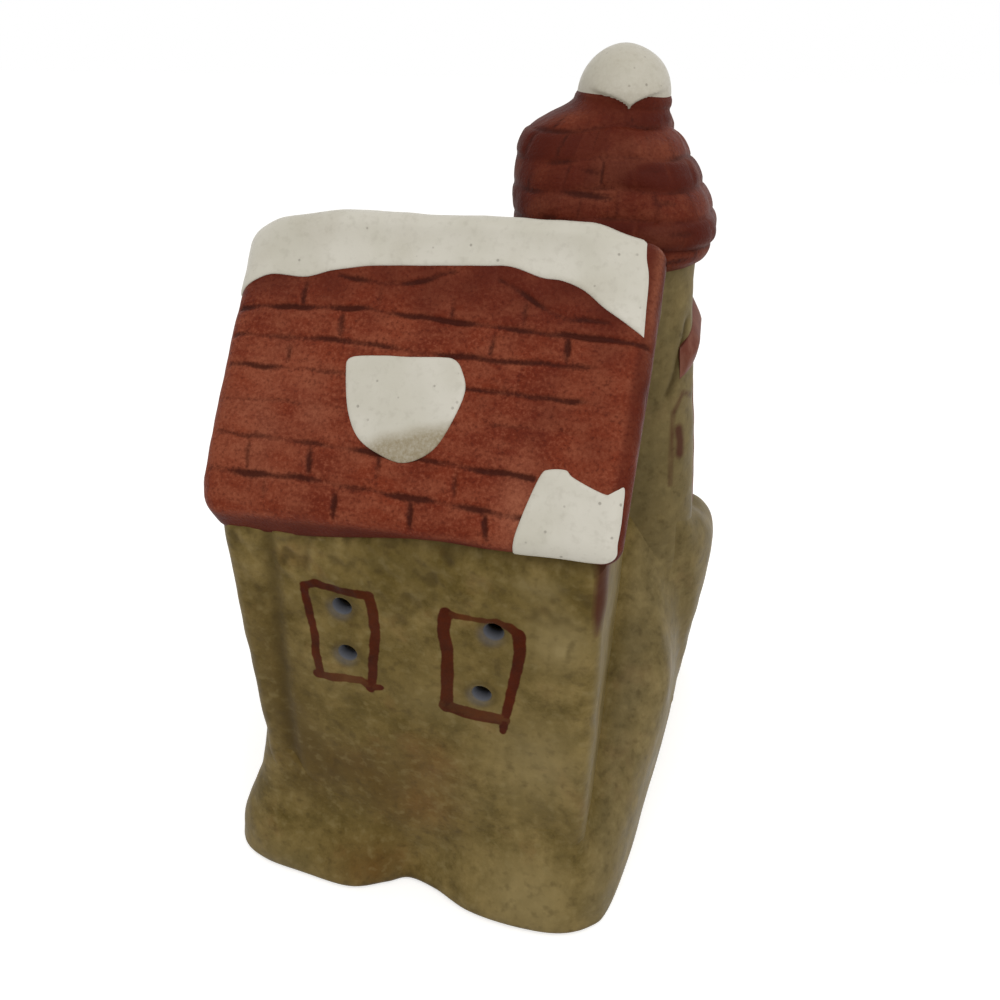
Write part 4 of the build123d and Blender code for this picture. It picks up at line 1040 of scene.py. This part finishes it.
def tower_shell():
    """Rounded rectangle that narrows as it climbs, outside up and inside down; its foot follows the roof it
    stands on."""
    template = ring_template((60, 56, 40, 40), 22)
    near_corner = np.array([TOWER_LEFT, TOWER_FRONT])
    middle = (TOWER_HEIGHTS[1] + TOWER_HEIGHTS[2]) / 2
    far_corner = np.array([tower_right(middle), tower_back(middle)])
    guide = ring_places(template, near_corner, far_corner, TOWER_CORNER)
    on_house = (guide[:, 0] < WALL_HALF - 2.5) & (guide[:, 1] < WALL_DEPTH - 2.5)
    foot = np.where(on_house, roof_under(guide[:, 1]) + 2.0, FLOOR_TOP + 0.5)

    def wall(height, inset):
        """Outline at each height, drawn inward by the inset."""
        low = np.broadcast_to(near_corner + inset, height.shape + (2,))
        high = np.stack([tower_right(height), tower_back(height)], -1) - inset
        shares, normals = template
        radius = max(TOWER_CORNER - inset, 2.0)
        plan = low + radius * (1 + normals) + (high - low - 2 * radius) * shares
        plan[..., 0] = tower_draw_in(plan[..., 0], plan[..., 1])
        return at_height(plan, height)

    climb = np.linspace(0, 1, TOWER_ROWS)[:, None]
    outer = wall(foot + climb * (TOWER_TOP + TOWER_LAP - foot), 0.0)
    normal = np.broadcast_to(np.concatenate([template[1], np.zeros((len(foot), 1))], -1), outer.shape)
    angle = np.arctan2(normal[..., 0], -normal[..., 1])
    right_corner = (outer[..., 0] > 22) & (outer[..., 1] < 62) & (angle < np.pi / 2 + 0.1)
    way = np.where(angle < 1e-6, outer[..., 0] - tower_right(outer[..., 2]) + TOWER_CORNER, 0.0)
    way = way - TOWER_CORNER * np.pi / 4
    way = way + TOWER_CORNER * np.clip(angle, 0, np.pi / 2) * (angle > 1e-6)
    way = way + np.where(angle > np.pi / 2 - 1e-6, outer[..., 1] - TOWER_FRONT - TOWER_CORNER, 0.0)
    gap = gap_to_line(way, outer[..., 2], HOOD_GROOVE)[0]
    groove = np.exp(-(gap / HOOD_GROOVE_HALF) ** 2) * right_corner
    outer = outer + (clay_swell(outer) - HOOD_GROOVE_DEPTH * groove)[..., None] * normal
    fall = np.linspace(1, 0, TOWER_INNER_ROWS)[:, None]
    inner = wall(foot + fall * (TOWER_TOP + TOWER_LAP - foot), WALL_THICK)
    arch_gap = gap_to_line(way, outer[..., 2], DOOR_ARCH)[0]
    smudge_gap = gap_to_line(way, outer[..., 2], DOOR_SMUDGE)[0]
    smear = np.maximum(ink(arch_gap - DOOR_ARCH_HALF), ink(smudge_gap - DOOR_SMUDGE_HALF)) * right_corner
    # The hood's groove is darkened: pooled glaze and painted shade between the gablet and the wall
    # The whole tower is a little paler and greyer
    fields = {"pooled_glaze_and_shade": np.clip(0.8 * groove, 0, 1), "smear_ink": smear, "pale_grey_and_painted_light": np.full_like(smear, 0.4)}
    fields = {name: np.concatenate([values, np.zeros(inner.shape[:2])]) for name, values in fields.items()}
    piece = skin("tower_shell", np.concatenate([outer, inner]), fields, rows_meet=True)
    return settle(piece, KHAKI, ["tower_walls"])


# Tower cap: height, left, right, front, back and corner radius of its outline, from the underside to
# inside the ball
CAP_TABLE = (
    (110.6, 16.0, 26.0, 51.0, 61.0, 4.0), (110.3, 7.6, 33.6, 42.4, 70.4, 8.0),
    (110.9, 6.2, 35.7, 40.5, 72.2, 9.0), (112.5, 5.2, 37.7, 39.0, 73.6, 10.0),
    (115.2, 4.9, 38.8, 38.7, 73.9, 10.5), (117.8, 4.7, 38.4, 39.2, 73.4, 10.5),
    (121.2, 4.4, 36.8, 40.6, 72.0, 10.0), (125.2, 4.3, 34.6, 42.4, 70.2, 9.5),
    (128.8, 4.6, 32.2, 44.4, 68.2, 9.0), (131.2, 5.8, 30.2, 46.2, 66.4, 8.4),
    (132.8, 8.6, 29.2, 47.4, 65.2, 8.1), (134.2, 11.4, 29.1, 48.1, 64.6, 8.1),
    (135.4, 13.0, 29.4, 48.3, 64.4, 8.0), (136.4, 13.5, 29.3, 48.4, 64.3, 7.9),
    (136.9, 14.4, 28.5, 49.3, 63.3, 7.0), (137.0, 19.0, 23.6, 54.2, 58.4, 2.0),
)
# Tiles of the cap: foot of the first course, course height, tile length, mean radius, half width of the cuts
CAP_FOOT = 110.0
CAP_COURSE = 4.3
CAP_BRICK = 6.2
CAP_RADIUS = 17.0
CAP_BED_HALF = 0.5
CAP_JOINT_HALF = 0.45
CAP_STROKE_HALF = 0.6
CAP_MM_PER_DEGREE = 0.3
CAP_ROWS = 150
# Dark strokes of the brush on the cap's front: strength, then (angle round in degrees, height) along it
CAP_STROKES = (
    (0.8, ((-128, 114.2), (-112, 114.6), (-100, 112.9))), (0.6, ((-86, 114.6), (-76, 113.4))),
    (0.6, ((-62, 112.6), (-44, 113.2))), (0.7, ((-124, 118.6), (-113, 118.9))),
    (0.55, ((-60, 117.2), (-44, 117.0))), (0.85, ((-118, 122.6), (-84, 122.0))),
    (0.5, ((-112, 125.8), (-90, 125.2))), (0.5, ((-66, 121.6), (-50, 121.4))),
    (0.4, ((-70, 126.0), (-52, 125.8))),
)


def tower_cap():
    """Rounded squares through the table's outlines; tile courses swell out most on the right and are cut
    faintly."""
    table = spline(CAP_TABLE, CAP_ROWS)
    height, low, high = table[:, 0], table[:, [1, 3]], table[:, [2, 4]]
    radius = np.minimum(table[:, 5], 0.499 * (high - low).min(1))
    template = ring_template((52, 52, 44, 44), 22)
    places = at_height(ring_places(template, low, high, radius), height[:, None])
    normal = grid_normals(places)
    around = np.arctan2(places[..., 1] - BALL_CENTRE[1], places[..., 0] - BALL_CENTRE[0])
    course = (places[..., 2] - CAP_FOOT) / CAP_COURSE + 0.1 * np.sin(2 * around + 0.6)
    course = course + 0.06 * np.sin(5 * around)
    zone = soft_step(places[..., 2], CAP_FOOT + 0.6, CAP_FOOT + 2.0) * soft_step(places[..., 2], 134.5, 132.5)
    band = np.floor(course)
    part = course - band
    to_right = soft_step(np.cos(around + 0.25), -0.2, 0.75)
    bulge = np.sqrt(np.abs(np.sin(np.pi * part))) - 0.7
    bed = np.exp(-(np.minimum(part, 1 - part) * CAP_COURSE / CAP_BED_HALF) ** 2)
    along = around * CAP_RADIUS / CAP_BRICK + 0.5 * (band % 2) + 0.13 * np.sin(3.1 * band)
    upright = np.abs(along - np.round(along)) * CAP_BRICK
    joint = np.exp(-(upright / CAP_JOINT_HALF) ** 2) * soft_step(np.minimum(part, 1 - part), 0.04, 0.14)
    press = np.clip(0.5 + 0.6 * lumps(places, 8, 35), 0.1, 1.0)
    stroke = np.zeros_like(around)
    for strength, line in CAP_STROKES:
        aim = [(turn * CAP_MM_PER_DEGREE, rise) for turn, rise in line]
        gap, share = gap_to_line(np.degrees(around) * CAP_MM_PER_DEGREE, places[..., 2], aim)
        swept = np.sqrt(np.sin(np.pi * np.clip(share, 0.01, 0.99)))
        stroke = np.maximum(stroke, strength * swept * np.exp(-(gap / CAP_STROKE_HALF) ** 2))
    cut = np.clip(np.maximum(np.maximum(0.7 * bed, 0.65 * joint) * press, stroke), 0, 1) * zone
    brick = np.sin(12.9898 * np.round(along) + 78.233 * band)
    uneven = 0.2 * lumps(places, 13, 31) * soft_step(places[..., 2], 136.5, 133)
    solid = zone * (1 - bed) * (1 - joint)
    swell = uneven + zone * bulge * (0.2 + 0.4 * to_right) + 0.14 * brick * solid - 0.25 * cut
    places = places + swell[..., None] * normal
    places[..., 2] -= soft_step(places[..., 2], 132.5, 136) * (0.35 + 0.3 * (1 + np.cos(around)))
    # Painted shade on the cap's left side, over each tile's own tone
    left_dark = soft_step(-np.cos(around - 0.1), 0.7, 0.93)
    shade = np.clip(0.78 + 0.3 * brick * solid + 0.34 * left_dark + 0.04 * to_right, 0, 1)
    rub_and_highlight = 0.2 * soft_step(lumps(places, 8, 33), 0.3, 1.0) * zone
    fields = {"cut": cut, "shade": shade, "rub_and_highlight": rub_and_highlight}
    piece = skin("tower_cap", places, fields, first="pole", last="pole")
    return settle(piece, TERRACOTTA, ["tower_roof"], 60)


# Tongue of glaze on the ball: its direction, tip and top heights, half width at the top
DRIP_ANGLE = math.radians(-77)
DRIP_TIP = 134.3
DRIP_TOP = 136.6
DRIP_HALF = 4.9


def snowball():
    """Ball by angle round and angle down from its top; a pointed tongue at the front swells past the cap
    below it."""
    down = np.linspace(0, np.pi, 90)[:, None]
    around = np.linspace(0, 2 * np.pi, 140, endpoint=False)
    height = BALL_CENTRE[2] + BALL_RADIUS * np.cos(down) * np.ones_like(around)
    reach = BALL_RADIUS * np.sin(down) * np.ones_like(around)
    off = np.abs((around - DRIP_ANGLE + np.pi) % (2 * np.pi) - np.pi) * BALL_RADIUS
    half = DRIP_HALF * np.clip((height - DRIP_TIP) / (DRIP_TOP - DRIP_TIP), 0, 1) ** 1.7
    soft_side = -0.4 - 3.0 * soft_step(height, 135.8, 137.4)
    tongue = soft_step((half - off - soft_side) / (0.3 - soft_side), 0, 1) * (height > DRIP_TIP - 0.2)
    tongue = tongue * soft_step(height, 139.4, 137.2)
    collar = np.interp(height, (133.4, 134.2, 135.4, 136.5, 139.4), (9.0, 8.6, 8.35, 8.2, 7.0))
    reach = reach + np.maximum(collar - reach, 0) * tongue
    plan = BALL_CENTRE[:2] + reach[..., None] * np.stack([np.cos(around), np.sin(around)], -1)
    places = at_height(plan, height)
    places = places - (0.1 * lumps(places, 9, 41))[..., None] * grid_normals(places)
    # Painted shade: the ball is a little darker all over and darker toward its foot
    dirt_and_shade = 0.2 + 0.2 * soft_step(height, 139.0, 134.5)
    piece = skin("snowball", places[:, ::-1], {"dirt_and_shade": dirt_and_shade[:, ::-1]}, first="pole", last="pole")
    return settle(piece, WHITE, ["snowball_finial"], 70)


# Gablet over the door: middle and half width as ways round the tower, top height and fall to its feet,
# height of the arch below it and fall of that, reach outward and depth in the wall
HOOD_MIDDLE = 12.4
HOOD_HALF = 11.8
HOOD_TOP = 103.6
HOOD_FALL = 7.0
HOOD_ARCH = 94.2
HOOD_ARCH_FALL = 2.6
HOOD_REACH = 1.9
HOOD_SINK = 0.8


def door_gablet():
    """Gablet pressed on the tower's flank: a filled point over an arch, domed across, thin at both feet."""
    u = np.linspace(1, -1, 90)[:, None]
    v = (1 - np.cos(np.linspace(0, np.pi, 40))) / 2
    peak = HOOD_TOP - HOOD_FALL * (np.sqrt(u * u + 0.01) - 0.1)
    arch = HOOD_ARCH - HOOD_ARCH_FALL * u * u
    way = HOOD_MIDDLE + HOOD_HALF * u + 0 * v
    z = arch + (np.maximum(peak, arch + 0.8) - arch) * v
    places, normal = tower_flank(way, z)
    dome = 1 - np.abs(2 * v - 1) ** 1.3
    lift = HOOD_REACH * dome * (1 - 0.75 * np.abs(u) ** 1.5) * soft_step(1 - np.abs(u), 0.0, 0.12)
    lift = lift * (1 + 0.06 * lumps(places, 6, 51))
    cut = 0.35 * soft_step(np.abs(2 * v - 1), 0.85, 1.0) * np.ones_like(u)
    top = places + lift[..., None] * normal
    piece = pillow("door_gablet", top, places - HOOD_SINK * normal, {"cut": cut})
    return settle(piece, DUSTY_RED, ["door_hood"], 60)


# Door: middle and half width as ways round the tower, sill, spring of the arch and its height as a share
# of the half width, planks in each half, half width and depth of the cuts between them, relief and depth
# in the wall
DOOR_WAY = 13.8
DOOR_HALF = 6.5
DOOR_LOW = 63.5
DOOR_SPRING = 84.5
DOOR_ARCH_SHARE = 0.8
DOOR_PLANKS = 2.5
PLANK_CUT_HALF = 0.35
PLANK_CUT_DEPTH = 0.13
DOOR_RELIEF = 0.16
DOOR_SINK = 0.6


def tower_door():
    """Round-headed door sheet on the flank: planks cut upright, round edge, and an arch a little flatter
    than a half circle."""
    u = np.linspace(1, -1, 60)[:, None]
    v = np.linspace(0, 1, 70)
    head = DOOR_SPRING + DOOR_HALF * np.sqrt(np.clip(1 - u * u, 0, 1)) * DOOR_ARCH_SHARE
    way = DOOR_WAY + DOOR_HALF * u + 0 * v
    z = DOOR_LOW + (head - DOOR_LOW) * v
    places, normal = tower_flank(way, z)
    tall = head - DOOR_LOW
    edge = np.minimum(np.minimum((1 - np.abs(u)) * DOOR_HALF, (1 - v) * tall), v * tall)
    plank = np.abs(u * DOOR_PLANKS - np.round(u * DOOR_PLANKS)) * DOOR_HALF / DOOR_PLANKS
    cut = np.exp(-(plank / PLANK_CUT_HALF) ** 2) * soft_step(edge, 0.6, 1.4) * np.ones_like(z)
    lift = DOOR_RELIEF * np.sqrt(1 - (1 - np.clip(edge / 0.9, 0, 1)) ** 2) - PLANK_CUT_DEPTH * cut
    top = places + lift[..., None] * normal
    piece = pillow("tower_door", top, places - DOOR_SINK * normal, {"cut": 0.7 * cut})
    return settle(piece, DUSTY_RED, ["door_panel"], 60)


tile_roof()
ridge_snow_cap()
snow_patch("round_snow_patch", ROUND_PATCH, (-3.0, 28.0), "roof_snow_patch", (32.0, 35.0))
snow_patch("corner_snow_patch", CORNER_PATCH, (24.2, 42.6), "eave_snow_patch", (60.0, 70.0))
glazed_walls()
snow_foot()
tower_shell()
tower_cap()
snowball()
door_gablet()
tower_door()


# Light unit: its pieces keep their shapes and get their finishes


def moulded(name, base, shade, size, rough, **surface):
    """Factory-made surface: faint clouds of a second shade, the given shader values, and a grain that is
    drawn at half a millimetre, coarser than the real one, so that it shows."""
    finish, tree, place = new_finish(name)
    see = read_patterns(tree, (("flow", place, size, 3.0, 0.5), ("spark", place, 0.5, 2.0, 0.5)))
    tone = coats(tree, colour(base), ((see["flow"], 0.35, 0.65, 1.0, shade, SOFT),))
    span = (rough - 0.06, rough + 0.06)
    return close_finish(finish, tree, tone, see["spark"], span, see["spark"], 0.3, 0.05, surface)


# Warm white plastic, half matt
ABS_WHITE = moulded("white_abs", "dcdcd6", "cfcfc8", 8, 0.5, IOR=1.53)
# Bluish milky rubber
SILICONE = moulded("milky_silicone", "c4c8ca", "b3b8bb", 6, 0.45, IOR=1.41)
# Cream, frosted
DIFFUSER = moulded("frosted_polycarbonate", "efe9da", "e4dcc8", 7, 0.55, IOR=1.58)
# Pale yellow and glossy
EPOXY = moulded("clear_led_epoxy", "efe3b4", "e2d49c", 4, 0.2, IOR=1.54)
# Deep green lacquer with a shine
LAMINATE = moulded("lacquered_laminate", "1d5a2f", "164826", 3, 0.35, IOR=1.5)
# Near black, half matt
NYLON = moulded("black_nylon", "1b1b1c", "262627", 3, 0.5, IOR=1.53)
# Bright grey metal, finely clouded
STEEL = moulded("tinned_steel", "b9b9b6", "a3a3a0", 1.2, 0.3, Metallic=1.0)
UNIT_FINISHES = (
    (ABS_WHITE, ("lamp_housing", "battery_door")), (SILICONE, ("grip_ring",)),
    (DIFFUSER, ("diffuser_dome",)), (EPOXY, ("led",)), (LAMINATE, ("circuit_board",)),
    (NYLON, ("switch_body", "switch_slider")),
    (STEEL, ("led_leads", "board_screws", "coin_cell", "plus_contact", "minus_contact", "door_screw")),
)
for finish, node_names in UNIT_FINISHES:
    for node_name in node_names:
        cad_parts[node_name].data.materials.clear()
        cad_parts[node_name].data.materials.append(finish)


# Studio: pale floor, white surround, one broad soft lamp; places in millimetres, the lamp's size in metres

FLOOR_HALF = 4000.0
FLOOR_DROP = 0.05
FLOOR_LINES = 9
FLOOR_GLOW = 0.5
SKY_STRENGTH = 0.68
KEY_PLACE = (200.0, -290.0, 600.0)
KEY_TARGET = (0.0, 20.0, 60.0)
KEY_SIZE = 0.6
KEY_POWER = 1.6


def seen_directly(tree):
    """1 where the camera, a reflection or clear material looks straight at a backdrop, else 0."""
    path = add(tree, "ShaderNodeLightPath", out=None).outputs
    seen = path["Is Camera Ray"]
    for ray in ("Is Glossy Ray", "Is Transmission Ray"):
        seen = add(tree, "ShaderNodeMath", {0: seen, 1: path[ray]}, operation="MAXIMUM")
    return seen


def pale_floor():
    """Flat grid of pale studio paper that reads white to the camera while it keeps the object's shadow."""
    finish, tree, place = new_finish("pale_studio_paper")
    see = read_patterns(tree, (("fibre", place, 3, 2.0, 0.5),))
    tone = coats(tree, colour("e9e9e8"), ((see["fibre"], 0.0, 1.0, 1.0, "edeceb", EVEN),))
    matt = add(tree, "ShaderNodeBsdfDiffuse", {"Color": tone})
    glow = add(tree, "ShaderNodeMath", {0: seen_directly(tree), 1: FLOOR_GLOW}, operation="MULTIPLY")
    white = add(tree, "ShaderNodeEmission", {"Color": (1.0, 1.0, 1.0, 1.0), "Strength": glow})
    both = add(tree, "ShaderNodeAddShader", {0: matt, 1: white})
    add(tree, "ShaderNodeOutputMaterial", {"Surface": both}, None)
    line = np.linspace(-FLOOR_HALF, FLOOR_HALF, FLOOR_LINES)
    places = at_height(np.stack(np.meshgrid(line, line), -1), -FLOOR_DROP)
    floor = make_piece("studio_floor", places, weave(np.arange(FLOOR_LINES ** 2).reshape(FLOOR_LINES, -1)))
    floor.data.materials.append(finish)


def white_surround():
    """Even sky for the light; pure white where the camera or a reflection looks straight at it."""
    world = bpy.data.worlds.new("studio_surround")
    world.use_nodes = True
    tree = world.node_tree
    tree.nodes.clear()
    sky = add(tree, "ShaderNodeBackground", {"Color": (1.0, 0.985, 0.96, 1.0), "Strength": SKY_STRENGTH})
    white = add(tree, "ShaderNodeBackground", {"Color": (1.0, 1.0, 1.0, 1.0), "Strength": 1.0})
    surround = add(tree, "ShaderNodeMixShader", {0: seen_directly(tree), 1: sky, 2: white})
    add(tree, "ShaderNodeOutputWorld", {"Surface": surround}, None)
    bpy.context.scene.world = world


def soft_lamp(name, place, target, size, power):
    """Square area lamp aimed at a place."""
    data = bpy.data.lights.new(name, "AREA")
    data.size = size
    data.energy = power
    lamp = bpy.data.objects.new(name, data)
    lamp.location = [(p + h) * MM for p, h in zip(place, HOUSE_PLACE)]
    aim = np.asarray(target, float) - np.asarray(place, float)
    lamp.rotation_euler = (
        math.acos(-aim[2] / np.linalg.norm(aim)), 0.0, math.atan2(aim[1], aim[0]) - math.pi / 2,
    )
    bpy.context.scene.collection.objects.link(lamp)


CAMERA_PLACE = (36.129, -89.983, 143.038)
CAMERA_AZIMUTH = 13.606
CAMERA_ELEVATION = 30.341
CAMERA_ROLL = -0.327
FOCAL_PIXELS = 780.0
PICTURE_PIXELS = 1000.0


def photograph_camera():
    """Camera at the photograph's viewpoint: looks down by the elevation, turned by the azimuth and rolled."""
    data = bpy.data.cameras.new("photograph_view")
    data.sensor_width = 36.0
    data.lens = data.sensor_width * FOCAL_PIXELS / PICTURE_PIXELS
    data.clip_start = 0.005
    data.clip_end = 20.0
    camera = bpy.data.objects.new("photograph_view", data)
    camera.location = [(p + h) * MM for p, h in zip(CAMERA_PLACE, HOUSE_PLACE)]
    angles = (CAMERA_AZIMUTH, CAMERA_ELEVATION, CAMERA_ROLL)
    azimuth, elevation, roll = (math.radians(angle) for angle in angles)
    camera.rotation_mode = "XYZ"
    turn = Matrix.Rotation(azimuth, 3, "Z") @ Matrix.Rotation(math.pi / 2 - elevation, 3, "X")
    turn = turn @ Matrix.Rotation(-roll, 3, "Z")
    camera.rotation_euler = turn.to_euler()
    bpy.context.scene.collection.objects.link(camera)
    bpy.context.scene.camera = camera


pale_floor()
white_surround()
soft_lamp("broad_key", KEY_PLACE, KEY_TARGET, KEY_SIZE, KEY_POWER)
photograph_camera()
bpy.context.scene.view_settings.view_transform = "Standard"
